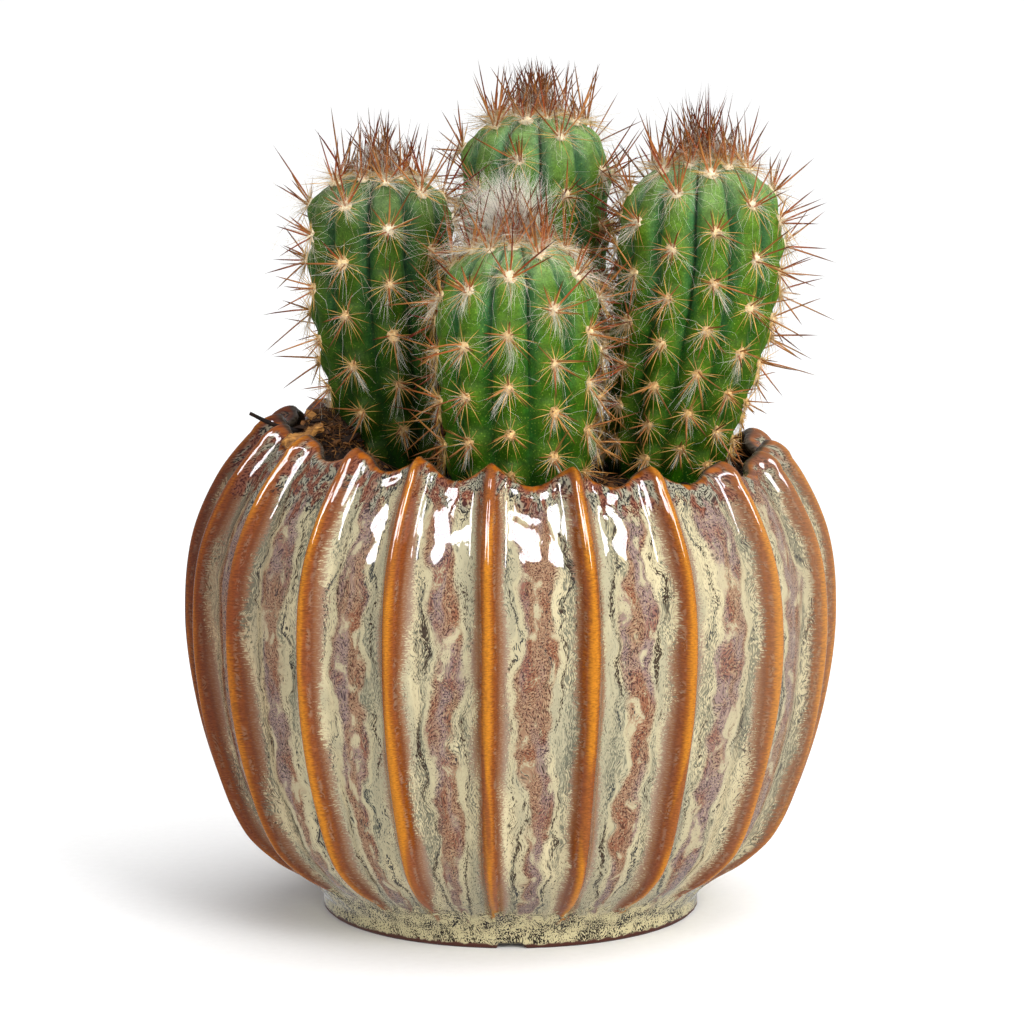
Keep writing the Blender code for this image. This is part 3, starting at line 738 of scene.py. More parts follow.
class CactusSkin:
    """Living cactus skin: waxy, slightly translucent flesh that scatters light under the surface.

    It is bright yellow-green on the young bulges, blue-green with bloom in the grooves near the tip
    and darker and duller low down, with fine pale pores all over. The grooves are darker than the
    ribs, partly as painted shade, and painted shade darkens the creases, the notch over each areole
    and a whole stem that stands away from the light.
    """

    ON_RIBS = (
        (0.0, "#1b4200"), (0.25, "#234c00"), (0.6, "#385f05"), (0.85, "#517424"), (1.0, "#6a8946"),
    )
    # The grooves' colours: bluer with bloom, and darker than the ribs' as painted shade.
    GROOVE_BLOOM_AND_SHADE = ((0.0, "#123604"), (0.45, "#1e5014"), (0.75, "#38693e"), (1.0, "#507a54"))
    CLOUD_MM = 7.0
    # Real pores are a few hundredths of a millimetre wide, too fine to show, so these are coarser.
    PORE_MM = 0.9
    BLOTCH_MM = 2.2
    GRAIN_MM = 0.45
    ROUGHNESS_MM = 0.7

    def build(self) -> Material:
        """Makes the skin from each point's height, depth in its groove and nearness to an areole.

        Returns:
            The material.
        """
        g = Graph("cactus_skin")
        names = ("share", "groove", "areole", "fresh", "notch_shade", "tone")
        values = [g.add("Attribute", out="Fac", attribute_name=name) for name in names]
        share, groove, areole, fresh, notch_shade, tone = values
        place = g.place_mm()
        cloud = g.add("TexNoise", {"Vector": place, "Scale": 1 / self.CLOUD_MM, "Detail": 2.0})
        drift = g.add("MapRange", (cloud, 0.3, 0.7, -0.12, 0.12))
        level = g.add("Math.ADD", (share, drift))
        crest = g.add("ValToRGB", (level,), stops=self.ON_RIBS)
        hollow = g.add("ValToRGB", (level,), stops=self.GROOVE_BLOOM_AND_SHADE)
        deep = g.add(EASE, (groove, 0.35, 0.95))
        colour = g.add(MIX, (deep, crest, hollow))
        # Painted shade: a dark line in the notch over each areole.
        notch_shade = g.add("Math.MULTIPLY", (notch_shade, 0.55))
        colour = g.add(MIX, (notch_shade, colour, "#123a12"))
        pale = g.add("Math.MULTIPLY", (fresh, 0.45))
        colour = g.add(MIX, (pale, colour, "#9ab98c"))
        near = g.add("Math.MULTIPLY", (areole, 0.3))
        colour = g.add(MIX, (near, colour, "#7a942a"))
        pores = g.add("TexVoronoi", {"Vector": place, "Scale": 1 / self.PORE_MM})
        pore = g.add(EASE, (pores, 0.3, 0.12, 0.0, 0.3))
        colour = g.add(MIX, (pore, colour, "#9ab440"))
        blotch_and_shade = g.add("TexNoise", {"Vector": place, "Scale": 1 / self.BLOTCH_MM, "Detail": 3.0})
        blotch_and_shade = g.add("MapRange", (blotch_and_shade, 0.3, 0.7, 0.7, 1.2))
        grain = g.add("TexNoise", {"Vector": place, "Scale": 1 / self.GRAIN_MM, "Detail": 1.5})
        grain = g.add("MapRange", (grain, 0.3, 0.7, 0.72, 1.24))
        blotch_and_shade = g.add("Math.MULTIPLY", (blotch_and_shade, grain))
        # Painted shade: the bottom of each groove is darkened into a thin dark crease, more so higher
        # up the stem.
        crease = g.add(EASE, (groove, 0.86, 1.0))
        crease = g.add("Math.MULTIPLY", (crease, level))
        crease = g.add("MapRange", (crease, 0.0, 1.0, 1.0, 0.4))
        blotch_and_shade = g.add("Math.MULTIPLY", (blotch_and_shade, crease))
        # Painted shade: a whole stem's colour is darkened by this value, lower on a stem that stands
        # away from the light.
        blotch_and_shade = g.add("Math.MULTIPLY", (blotch_and_shade, tone))
        colour = g.shaded(colour, blotch_and_shade)
        rough = g.add("TexNoise", {"Vector": place, "Scale": 1 / self.ROUGHNESS_MM, "Detail": 2.0})
        bump = g.add("Bump", {"Height": rough, "Distance": 0.2 * MM, "Strength": 0.6})
        return g.finish(
            Base_Color=colour,
            Roughness=0.55,
            IOR=1.4,
            Specular_IOR_Level=0.1,
            Subsurface_Weight=0.12,
            Subsurface_Radius=(0.4, 1.0, 0.2),
            Subsurface_Scale=1.5 * MM,
            Normal=bump,
        )


class AreoleFelt:
    """The felt of an areole: short matted plant wool, dull and soft, cream when young and tan
    when old, and tan as painted shade where another stem is close."""

    # Real felt hairs are about 0.03 mm thick, too fine to show, so the mat is drawn coarser.
    MAT_MM = 0.35

    def build(self) -> Material:
        """Makes the felt.

        Returns:
            The material.
        """
        g = Graph("areole_felt")
        share = g.add("Attribute", out="Fac", attribute_name="share")
        tint = g.add("Attribute", out="Fac", attribute_name="tint")
        level = g.add("Math.MULTIPLY_ADD", (tint, 0.3, share))
        stops = ((0.0, "#d6ac68"), (0.45, "#ebc388"), (0.85, "#f5d9a6"), (1.0, "#fae9c6"))
        colour = g.add("ValToRGB", (level,), stops=stops)
        place = g.place_mm()
        mat = g.add("TexNoise", {"Vector": place, "Scale": 1 / self.MAT_MM, "Detail": 2.0})
        shade = g.add("MapRange", (mat, 0.3, 0.7, 0.7, 1.15))
        colour = g.shaded(colour, shade)
        bump = g.add("Bump", {"Height": mat, "Distance": 0.2 * MM, "Strength": 0.8})
        return g.finish(Base_Color=colour, Roughness=0.95, Specular_IOR_Level=0.1, Normal=bump)


class DrySpine:
    """A cactus spine: hard dry plant fibre, faintly glossy, straw at the root and darker and
    translucent brown towards the tip."""

    def build(self) -> Material:
        """Makes the spines' finish from how brown each spine is and where along it a point lies.

        Returns:
            The material.
        """
        g = Graph("dry_spine")
        along = g.add("Attribute", out="Fac", attribute_name="along")
        brown = g.add("Attribute", out="Fac", attribute_name="brown")
        tint = g.add("Attribute", out="Fac", attribute_name="tint")
        stops = ((0.0, "#f0cf8c"), (0.45, "#dcae5a"), (0.8, "#97642a"), (1.0, "#4a2b10"))
        straw = g.add("ValToRGB", (along,), stops=stops)
        stops = ((0.0, "#c67c3c"), (0.25, "#8f3a1c"), (0.6, "#55190c"), (1.0, "#220905"))
        red = g.add("ValToRGB", (along,), stops=stops)
        colour = g.add(MIX, (brown, straw, red))
        value = g.add("MapRange", (tint, 0.0, 1.0, 0.75, 1.25))
        colour = g.shaded(colour, value)
        return g.finish(Base_Color=colour, Roughness=0.5, IOR=1.45, Specular_IOR_Level=0.1)


class WoolHair:
    """Long plant wool: thin dull wavy hairs, almost white, and painted brown as painted shade
    between two stems."""

    def build(self) -> Material:
        """Makes the wool.

        Returns:
            The material.
        """
        g = Graph("wool_hair")
        tint = g.add("Attribute", out="Fac", attribute_name="tint")
        stops = ((0.0, "#3c240c"), (0.25, "#7e5a2c"), (0.5, "#cbb994"), (1.0, "#f1eee7"))
        colour = g.add("ValToRGB", (tint,), stops=stops)
        return g.finish(Base_Color=colour, Roughness=0.7, Specular_IOR_Level=0.15)


class PottingSoil:
    """Moist potting mix of coir, bark and peat: dark, matt and crumbly."""

    CRUMB_MM = 1.6
    GRIT_MM = 1.2

    def build(self) -> Material:
        """Makes the soil.

        Returns:
            The material.
        """
        g = Graph("potting_soil")
        place = g.place_mm()
        crumb = g.add("TexNoise", {"Vector": place, "Scale": 1 / self.CRUMB_MM, "Detail": 4.0})
        stops = ((0.34, "#0b0705"), (0.5, "#22160e"), (0.64, "#4a3320"), (0.76, "#7d5c38"))
        colour = g.add("ValToRGB", (crumb,), stops=stops)
        grit = g.add("TexVoronoi", {"Vector": place, "Scale": 1 / self.GRIT_MM})
        bump = g.add("Bump", {"Height": crumb, "Distance": 1.2 * MM, "Strength": 1.0})
        bump = g.add("Bump", {"Height": grit, "Distance": 0.4 * MM, "Strength": 0.6, "Normal": bump})
        return g.finish(Base_Color=colour, Roughness=0.95, Specular_IOR_Level=0.12, Normal=bump)


class PlantLitter:
    """Dry bark, coir fibre and twigs: split plant fibre, matt, from tan to nearly black."""

    GRAIN_MM = (2.5, 0.45, 0.6)

    def build(self) -> Material:
        """Makes the litter from how dark each bit is.

        Returns:
            The material.
        """
        g = Graph("plant_litter")
        dark = g.add("Attribute", out="Fac", attribute_name="dark")
        stops = ((0.0, "#c48c48"), (0.3, "#80542c"), (0.6, "#37220f"), (1.0, "#0f0906"))
        colour = g.add("ValToRGB", (dark,), stops=stops)
        scale = tuple(1 / size for size in self.GRAIN_MM)
        place = g.add("VectorMath.MULTIPLY", (g.place_mm(), scale))
        grain = g.add("TexNoise", {"Vector": place, "Scale": 1.0, "Detail": 3.0})
        shade = g.add("MapRange", (grain, 0.3, 0.7, 0.55, 1.3))
        colour = g.shaded(colour, shade)
        bump = g.add("Bump", {"Height": grain, "Distance": 0.25 * MM, "Strength": 0.8})
        return g.finish(Base_Color=colour, Roughness=0.85, Specular_IOR_Level=0.12, Normal=bump)


class PaperFloor:
    """Matt white studio paper: pale and even, with barely visible fibre."""

    # Real paper fibres are too fine to show from here, so these are drawn coarser.
    FIBRE_MM = 2.5

    def build(self) -> Material:
        """Makes the paper.

        Returns:
            The material.
        """
        g = Graph("studio_paper")
        place = g.add("TexCoord", out="Object")
        fibre = g.add("TexNoise", {"Vector": place, "Scale": 1 / (self.FIBRE_MM * MM), "Detail": 2.0})
        colour = g.add("ValToRGB", (fibre,), stops=((0.3, "#fafafa"), (0.7, "#fdfdfd")))
        return g.finish(Base_Color=colour, Roughness=0.9, Specular_IOR_Level=0.1)


@dataclass(frozen=True)
class PotForm:
    """The pot's sizes and its surfaces as formulas, the same as the CAD source's.

    The crest profile is (height, radius). The rib section is (share of the way from a crest to its
    valley, share of the rib's height), and the column shares say where on it the columns stand.
    """

    crest_profile_mm: tuple = (
        (4.0, 52.4), (9.0, 56.5), (16.0, 67.5), (25.0, 76.3), (42.0, 83.6), (62.0, 88.6),
        (83.0, 90.6), (104.0, 88.6), (121.0, 81.4), (133.0, 72.0), (142.0, 61.5),
    )
    front_ribs_deg: tuple = (-90.0, -73.0, -57.0, -38.0, -21.0, -4.0, 14.0, 32.0, 53.0, 72.0, 90.0)
    back_ribs: int = 9
    rib_height: float = 5.5 * MM
    rib_fade: tuple = (5.0 * MM, 20.0 * MM)
    rib_section: tuple = (
        (-0.06, 0.955), (0.0, 1.0), (0.06, 0.955), (0.12, 0.79), (0.19, 0.5), (0.28, 0.18),
        (0.37, 0.03), (0.46, 0.0), (0.7, 0.1), (1.0, 0.145), (1.3, 0.1),
    )
    column_shares: tuple = (
        0.0, 0.035, 0.075, 0.12, 0.165, 0.21, 0.26, 0.32, 0.38, 0.46, 0.58, 0.78, 1.0,
    )
    half_pitch_mm: float = 14.0
    rim_tip_z: float = 135.4 * MM
    rim_valley_z: float = 129.2 * MM
    rim_tilt: float = 3.6 * MM
    wall: float = 4.6 * MM
    inner_rib_share: float = 0.35
    foot_radius: float = 52.4 * MM
    foot_top_z: float = 4.0 * MM
    foot_ring_width: float = 6.0 * MM
    foot_recess: float = 2.5 * MM
    foot_rounding: float = 0.6 * MM
    floor_z: float = 8.0 * MM
    inner_rows_mm: tuple = (122.0, 102.0, 70.0, 40.0, 18.0)
    outer_rows: int = 118
    lip_rows: int = 10

    def crest_radius(self, z: Array) -> Array:
        """How far the rib crests reach from the axis at a height."""
        return curve_through(self.crest_profile_mm, np.asarray(z) / MM) * MM

    def rib_rise(self, z: Array) -> Array:
        """The height of the ribs over their valleys, which fades out above the foot."""
        return self.rib_height * smooth(*self.rib_fade, np.asarray(z))

    def outer_radius(self, z: Array, height: Array) -> Array:
        """The radius of the outside, height being 1 on a crest and 0 in a valley."""
        return self.crest_radius(z) - self.rib_rise(z) * (1.0 - height)

    def inner_radius(self, z: Array, height: Array) -> Array:
        """The radius of the inside, which follows the ribs faintly."""
        rise = self.rib_rise(z)
        return self.crest_radius(z) - rise - self.wall + rise * self.inner_rib_share * height

    def rim_z(self, angle: Array, peak: Array) -> Array:
        """The rim's height: peaks on the ribs, lower towards the right."""
        rise = (self.rim_tip_z - self.rim_valley_z) * peak
        return self.rim_valley_z + rise - self.rim_tilt * np.sin(angle)

    def crests(self) -> Array:
        """Finds the rib crests, from the front towards +X.

        Returns:
            Their angles in degrees, and the first again.
        """
        first, last = self.front_ribs_deg[0], self.front_ribs_deg[-1]
        step = (360.0 - (last - first)) / (self.back_ribs + 1)
        back = [last + step * (i + 1) for i in range(self.back_ribs + 1)]
        return np.array(list(self.front_ribs_deg) + back)


@dataclass(frozen=True)
class Row:
    """One ring of the pot: its radius and height at each column, how far it has the lining's
    colour, and whether its ribs wander a little sideways."""

    radius: Array
    z: Array
    inside: float = 0.0
    wobble: bool = False


@dataclass
class Pot:
    """The stoneware pot as one fine mesh: ribs, scalloped lip, inside and foot."""

    form: PotForm
    # The swellings of the wall between its ribs: how far they stand out low down and what the
    # shoulder adds to that, in millimetres, and their size in millimetres and their pattern.
    ripples: tuple = ((0.32, 0.0, 17.0, 7), (0.12, 0.46, 7.5, 8), (0.0, 0.24, 4.8, 10))
    swell_mm: float = 0.18
    wobble_deg: float = 0.55
    drip_mm: float = 0.7
    rim_uneven_mm: float = 0.35
    notch_mm: float = 1.3
    # Where the notch's middle is and how far from it its sides start and end.
    notch_deg: tuple = (0.4, 3.9, 4.6)
    middle_mm: float = 4.0
    under_lip_mm: float = 124.5

    def __post_init__(self) -> None:
        """Spreads the columns of the mesh over the ribs."""
        form = self.form
        crests = form.crests()
        shares = np.array(form.column_shares)
        halves = np.concatenate([shares[:-1], 2.0 - shares[:0:-1]]) / 2.0
        widths = np.diff(crests)
        self.per_gap = len(halves)
        self.angle_deg = (crests[:-1, None] + widths[:, None] * halves[None, :]).ravel()
        from_crest = np.minimum(halves, 1.0 - halves) * 2.0
        self.share = np.tile(from_crest, len(widths))
        self.height = curve_through(form.rib_section, self.share)
        rounded = np.sqrt(self.share**2 + 0.08**2) - 0.02
        self.peak = np.clip(1.0 - rounded, 0.0, 1.0) ** 2
        self.gap = np.repeat(np.arange(len(widths)), self.per_gap)
        self.halves = halves

    def _ring(self, row: Row) -> Array:
        """One ring of points.

        Args:
            row: Its radius and height.

        Returns:
            A point at each column.
        """
        angle = self.angle_deg.copy()
        z = np.broadcast_to(row.z, angle.shape)
        if row.wobble:
            ways = np.stack([self.gap_wave(angle), z / MM / 38.0, np.zeros_like(angle)], axis=-1)
            angle = angle + self.wobble_deg * lumps(ways, 1.0, 3)
        turn = np.radians(angle)
        return np.stack([row.radius * np.sin(turn), -row.radius * np.cos(turn), z], axis=-1)

    @staticmethod
    def gap_wave(angle: Array) -> Array:
        """A place on a closed loop, so that a pattern round the pot meets itself."""
        return 2.5 * np.sin(np.radians(angle)) + 1.5 * np.cos(np.radians(angle) * 2)

    def _ripple(self, z: Array, size_mm: float, seed: float) -> Array:
        """The slight unevenness of a thrown and glazed wall.

        Args:
            z: A height at each column.
            size_mm: The size of its swellings.
            seed: Which pattern of them.

        Returns:
            A height from about -1 to 1 at each column.
        """
        turn = np.radians(self.angle_deg)
        places = np.stack([90 * np.sin(turn), 90 * np.cos(turn), np.asarray(z) / MM], axis=-1)
        return lumps(places, size_mm, seed)

    def build(self, material: Material) -> Piece:
        """Makes the pot.

        Args:
            material: Its glaze.

        Returns:
            The piece that stands for the CAD pot.
        """
        form = self.form
        rim = form.rim_z(np.radians(self.angle_deg), self.peak)
        rim = rim + self.rim_uneven_mm * MM * self._ripple(rim * 0, 9.0, 5)
        thick = form.outer_radius(rim, self.height) - form.inner_radius(rim, self.height)
        depth = thick * (0.5 + 0.12 * self.height)
        top = rim - depth
        rows = self._foot() + self._outside(top) + self._lip(rim, top, depth) + self._lining(top)
        rings = [self._ring(row) for row in rows]
        points = np.concatenate(rings)
        columns = len(self.angle_deg)
        faces = grid_faces(len(rings), columns)
        caps = [
            np.arange(columns)[None, ::-1],
            (np.arange(columns) + (len(rings) - 1) * columns)[None, :],
        ]
        corners = self._corners(rows, rim, faces, columns)
        faces = [faces] + caps
        piece = make_piece("pot_glazed", points, faces, material, corners=corners, recalculate=True)
        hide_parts("pot")
        return piece

    def _foot(self) -> list[Row]:
        """The rings of the foot, with the notch in it at the front.

        Returns:
            The rings, from the axis outwards.
        """
        form = self.form
        flat = np.ones_like(self.height)
        front, narrow, wide = self.notch_deg
        notch = self.notch_mm * MM * smooth(wide, narrow, np.abs(self.angle_deg - front))
        inner, outer = (form.foot_radius - form.foot_ring_width) * flat, form.foot_radius * flat
        return [
            Row(self.middle_mm * MM * flat, form.foot_recess * flat),
            Row(inner, form.foot_recess * flat),
            Row(inner + form.foot_rounding, notch),
            Row(outer - form.foot_rounding, notch),
            Row(outer, notch + form.foot_rounding),
        ]

    def _outside(self, top: Array) -> list[Row]:
        """The rings of the ribbed outer wall, which is a little uneven between the ribs.

        Args:
            top: Where the wall ends and the lip starts.

        Returns:
            The rings, from the foot upwards.
        """
        form = self.form
        low = form.foot_top_z * 0.4
        rows = []
        for number in range(form.outer_rows + 1):
            z = low + (number / form.outer_rows) ** 1.08 * (top - low)
            radius = form.outer_radius(np.maximum(z, form.foot_top_z), self.height)
            over_foot, shoulder = smooth(8 * MM, 25 * MM, z), smooth(72 * MM, 100 * MM, z)
            valley = smooth(0.1, 0.5, self.share) * over_foot
            for low_mm, more_mm, size_mm, seed in self.ripples:
                high = MM * (low_mm + more_mm * shoulder)
                radius = radius + high * valley * self._ripple(z, size_mm, seed)
            radius = radius + MM * self.swell_mm * over_foot * self._ripple(z, 30.0, 9)
            rows.append(Row(radius + self._drips(z), z, wobble=True))
        return rows

    def _lip(self, rim: Array, top: Array, depth: Array) -> list[Row]:
        """The rings of the rounded lip.

        Args:
            rim: Its highest line.
            top: Where it starts on the outer wall and ends inside.
            depth: How far it rises between them.

        Returns:
            The rings, from the outside inwards.
        """
        form = self.form
        outer, inner = form.outer_radius(top, self.height), form.inner_radius(top, self.height)
        centre, half = (outer + inner) / 2, (outer - inner) / 2
        rows = []
        for step in range(1, form.lip_rows + 1):
            bend = math.pi * step / (form.lip_rows + 1)
            z = top + depth * math.sin(bend) ** 0.85
            lean = (form.inner_radius(rim, self.height) - inner) * math.sin(bend)
            lined = 0.85 * float(smooth(1.3, 2.0, bend))
            rows.append(Row(centre + half * math.cos(bend) + lean * 0.6, z, lined, True))
        return rows + [Row(inner, top, 1.0, True)]

    def _lining(self, top: Array) -> list[Row]:
        """The rings of the inside.

        Args:
            top: Where the lip ends.

        Returns:
            The rings, from the lip down to the floor.
        """
        form = self.form
        rows = []
        for z_mm in (self.under_lip_mm, *form.inner_rows_mm):
            z = np.minimum(z_mm * MM, top - 0.4 * MM)
            rows.append(Row(form.inner_radius(z, self.height), z, 1.0))
        flat = np.ones_like(self.height)
        floor = form.floor_z * flat
        rows.append(Row((form.foot_radius - form.wall) * flat, floor, 1.0))
        return rows + [Row(self.middle_mm * MM * flat, floor, 1.0)]

    def _drips(self, z: Array) -> Array:
        """The rolls of run glaze that stop just above the foot, under each rib and valley.

        Args:
            z: A height at each column.

        Returns:
            How thick the glaze is there.
        """
        at = 9.0 * MM + 1.6 * MM * self._ripple(z * 0, 12.0, 11)
        thick = np.exp(-(((z - at) / (1.9 * MM)) ** 2))
        return self.drip_mm * MM * thick * (0.5 + 0.5 * self._ripple(z * 0, 7.0, 12))

    def _corners(self, rows: list[Row], rim: Array, faces: Array, columns: int) -> dict[str, Array]:
        """Where each face corner lies, for the glaze.

        Args:
            rows: The rings.
            rim: The rim's height at each column.
            faces: The quads.
            columns: How many columns a ring has.

        Returns:
            valley_place and crest_place: millimetres across, millimetres along, and which one.
            rim_place: millimetres below the rim, height in millimetres, and 1 inside.
        """
        form = self.form
        z_steps = np.linspace(0.0, 142.0, 400)
        radii = form.crest_radius(z_steps * MM) / MM
        radii[z_steps < form.foot_top_z / MM] = form.foot_radius / MM
        arc = np.concatenate([[0.0], np.cumsum(np.hypot(np.diff(z_steps), np.diff(radii)))])
        z_all = np.stack([np.broadcast_to(row.z, rim.shape) for row in rows])
        up = np.interp(z_all / MM, z_steps, arc)
        inside = np.array([row.inside for row in rows])[:, None] * np.ones_like(z_all)
        below = (rim[None, :] - z_all) / MM
        low_half = np.append(self.halves, 1.0)
        column = np.arange(len(faces)) % columns
        part = column % self.per_gap
        left, right = low_half[part], low_half[part + 1]
        gap = self.gap[column].astype(float)
        half = form.half_pitch_mm
        across = np.stack([left, right, right, left], axis=-1)
        valley_x = (across * 2.0 - 1.0) * half
        in_left = (part < self.per_gap // 2)[:, None]
        crest_x = np.where(in_left, across * 2.0 * half, (across * 2.0 - 2.0) * half)
        crest_index = np.where(in_left[:, 0], gap, (gap + 1) % (self.gap[-1] + 1))
        along = up.ravel()[faces]
        total = faces.size
        cap = 2 * columns
        ones = np.ones_like(along)

        def join(x: Array, y: Array, z: Array) -> Array:
            """Three numbers a corner, and the caps' corners after them."""
            body = np.stack([x, y, z], axis=-1).reshape(total, 3)
            return np.concatenate([body, np.tile([[5.0, 0.0, 0.0]], (cap, 1))])

        below, level, inside = (part.ravel()[faces] for part in (below, z_all / MM, inside))
        return {
            "valley_place": join(valley_x, along, gap[:, None] * ones),
            "crest_place": join(crest_x, along, crest_index[:, None] * ones),
            "rim_place": join(below, level, inside),
        }


@dataclass(frozen=True)
class StemForm:
    """One stem's sizes and its surface as formulas, the same as the CAD source's.

    The areoles of a rib lie first + spacing * n + growth * n * n high, and its phase shifts n.
    """

    name: str
    foot_mm: tuple
    top_mm: tuple
    apex_mm: float
    base_mm: float
    widest_mm: float
    dome_share: float
    dome_power: float
    ribs: int
    turn_deg: float
    first_mm: float
    spacing_mm: float
    growth_mm: float
    brush_mm: float
    phases: tuple
    wool: float = 1.0
    # How much of its skin's colour a stem keeps: painted shade, lower on a stem that stands away from
    # the light.
    tone: float = 1.0
    widest_at: float = 0.62
    lean_shares: tuple = (-0.1, 0.75)
    groove_shares: tuple = (0.12, 0.24)
    lowest_areole_mm: float = 3.5
    crown_clear_mm: float = 4.5
    crown_ratio: float = 0.44
    depth_mm: float = 14.0

    @property
    def soil_z(self) -> float:
        """The soil's height at the stem's foot."""
        return float(soil_height(self.foot_mm[0] * MM, self.foot_mm[1] * MM))

    @property
    def apex(self) -> float:
        """The height of the stem's tip."""
        return self.apex_mm * MM

    @property
    def dome(self) -> float:
        """The height of the rounded top."""
        return self.dome_share * self.widest_mm * MM

    def share(self, z: Array) -> Array:
        """0 at the soil and 1 at the apex."""
        return (np.asarray(z) - self.soil_z) / (self.apex - self.soil_z)

    def centre(self, z: Array) -> Array:
        """The middle of the stem.

        Args:
            z: The heights.

        Returns:
            Its x and y at each.
        """
        lean = smooth(*self.lean_shares, self.share(z))[..., None]
        foot, top = np.array(self.foot_mm) * MM, np.array(self.top_mm) * MM
        return foot + (top - foot) * lean

    def reach(self, z: Array) -> Array:
        """The radius over the rib crests.

        Args:
            z: The heights.

        Returns:
            The radius at each.
        """
        share = np.clip(self.share(z), 0.0, None)
        swell = np.sin(math.pi / 2 * np.minimum(share / self.widest_at, 1.0))
        radius = (self.base_mm + (self.widest_mm - self.base_mm) * swell) * MM
        over = np.clip((np.asarray(z) - (self.apex - self.dome)) / self.dome, 0.0, 1.0)
        return radius * np.sqrt(1.0 - over**self.dome_power)

    def gap(self, points: Array) -> Array:
        """How far points lie outside the flesh, sideways."""
        level = np.minimum(points[:, 2], self.apex)
        return np.linalg.norm(points[:, :2] - self.centre(level), axis=-1) - self.reach(level)

    def from_foot(self, x: Array, y: Array) -> Array:
        """How far places on the soil lie outside the stem's foot."""
        return np.hypot(x - self.foot_mm[0] * MM, y - self.foot_mm[1] * MM) - self.base_mm * MM

    def groove(self, z: Array) -> Array:
        """How deep the grooves are, as a share of the radius."""
        low, high = self.groove_shares
        return low + (high - low) * smooth(0.0, 0.9, self.share(z))

    def rib_angle(self, rib: Array) -> Array:
        """The angle of a rib, counted from +Y."""
        return math.radians(self.turn_deg) + 2 * math.pi * np.asarray(rib) / self.ribs

    def on_rib(self, rib: Array, z: Array, rise: float = 0.0) -> Array:
        """Points on the ribs' crests.

        Args:
            rib: The rib of each.
            z: Its height.
            rise: How far it lies over the crest.

        Returns:
            The points.
        """
        angle, radius = self.rib_angle(rib), self.reach(z) + rise
        centre = self.centre(z)
        x = centre[..., 0] + radius * np.sin(angle)
        y = centre[..., 1] + radius * np.cos(angle)
        return np.stack([x, y, np.asarray(z) * np.ones_like(x)], axis=-1)

    def outward(self, rib: Array, z: Array) -> Array:
        """The direction straight out of the flesh on the ribs' crests.

        Args:
            rib: The rib of each point.
            z: Its height.

        Returns:
            The directions.
        """
        step = np.minimum(MM, (self.apex - z) * 0.4)
        up = self.on_rib(rib, z + step) - self.on_rib(rib, z - step)
        angle = self.rib_angle(rib)
        side = np.stack([np.cos(angle), -np.sin(angle), np.zeros_like(angle)], axis=-1)
        return unit(np.cross(up, side))

    def areoles(self) -> tuple[Array, Array, Array]:
        """Where the areoles lie.

        They follow each rib at a spacing that widens with height, and crowd together over the
        dome towards the growing tip.

        Returns:
            The rib, the height and the distance from the tip over the dome of each areole.
        """
        bend = np.sin(np.linspace(0.0, 1.0, 500) * math.pi / 2)
        z_line = np.append(np.linspace(self.soil_z, self.apex - self.dome, 400)[:-1], 0.0)
        z_line = np.concatenate([z_line[:-1], self.apex - self.dome + self.dome * bend])
        steps = np.hypot(np.diff(z_line), np.diff(self.reach(z_line)))
        to_tip = np.concatenate([[0.0], np.cumsum(steps[::-1])])
        z_from_tip = z_line[::-1]
        ribs, heights, tips = [], [], []
        for rib in range(self.ribs):
            place = np.arange(-3, 40) + self.phases[rib]
            levels = (self.first_mm + self.spacing_mm * place + self.growth_mm * place**2) * MM
            low = self.soil_z + self.lowest_areole_mm * MM
            levels = levels[(levels > low) & (levels < self.apex - self.crown_clear_mm * MM)]
            levels = levels[: int(np.argmax(levels)) + 1]
            distances = list(np.interp(levels[::-1], z_line, to_tip[::-1])[::-1])
            while distances[-1] * self.crown_ratio > 1.1 * MM:
                distances.append(distances[-1] * self.crown_ratio)
            ribs.extend([rib] * len(distances))
            heights.extend(np.interp(distances, to_tip, z_from_tip))
            tips.extend(distances)
        return np.array(ribs), np.array(heights), np.array(tips)


STEMS = (
    # The left stem, with painted shade darkening its skin all over.
    StemForm(
        name="stem_left", foot_mm=(-30.5, -3.0), top_mm=(-35.6, -3.5), apex_mm=205.0,
        base_mm=13.8, widest_mm=19.4, dome_share=0.8, dome_power=3.0, ribs=10, turn_deg=172.0,
        first_mm=136.7, spacing_mm=12.3, growth_mm=0.36, brush_mm=21.0, tone=0.56,
        phases=(0.0, 0.38, -0.17, 0.3, 0.85, 0.35, 0.9, 0.4, 0.05, 0.57),
    ),
    StemForm(
        name="stem_front", foot_mm=(2.4, -36.0), top_mm=(1.6, -36.0), apex_mm=190.9, base_mm=18.2,
        widest_mm=21.2, dome_share=1.04, dome_power=2.0, ribs=11, turn_deg=186.0, first_mm=134.4,
        spacing_mm=11.4, growth_mm=0.55, brush_mm=16.5, wool=2.4,
        phases=(0.55, 0.3, 0.12, 0.6, 0.1, 0.6, 0.1, 0.55, 0.05, 0.53, 0.0),
    ),
    StemForm(
        name="stem_right", foot_mm=(42.0, -2.0), top_mm=(52.1, -2.5), apex_mm=209.5, base_mm=15.2,
        widest_mm=22.1, dome_share=1.0, dome_power=2.2, ribs=12, turn_deg=172.0, first_mm=131.5,
        spacing_mm=9.6, growth_mm=0.46, brush_mm=20.0,
        phases=(0.0, 0.67, 0.12, 0.6, 0.1, 0.6, 0.0, 0.5, 0.0, 0.6, 0.12, 0.45),
    ),
    StemForm(
        name="stem_back", foot_mm=(6.4, 28.5), top_mm=(6.9, 27.0), apex_mm=219.7, base_mm=17.0,
        widest_mm=20.4, dome_share=0.8, dome_power=2.2, ribs=10, turn_deg=193.0, first_mm=124.0,
        spacing_mm=12.4, growth_mm=0.26, brush_mm=17.5,
        phases=(0.0, 0.5, 0.1, 0.6, 0.1, 0.6, 0.1, 0.6, 0.75, 0.37),
    ),
)
POT = PotForm()
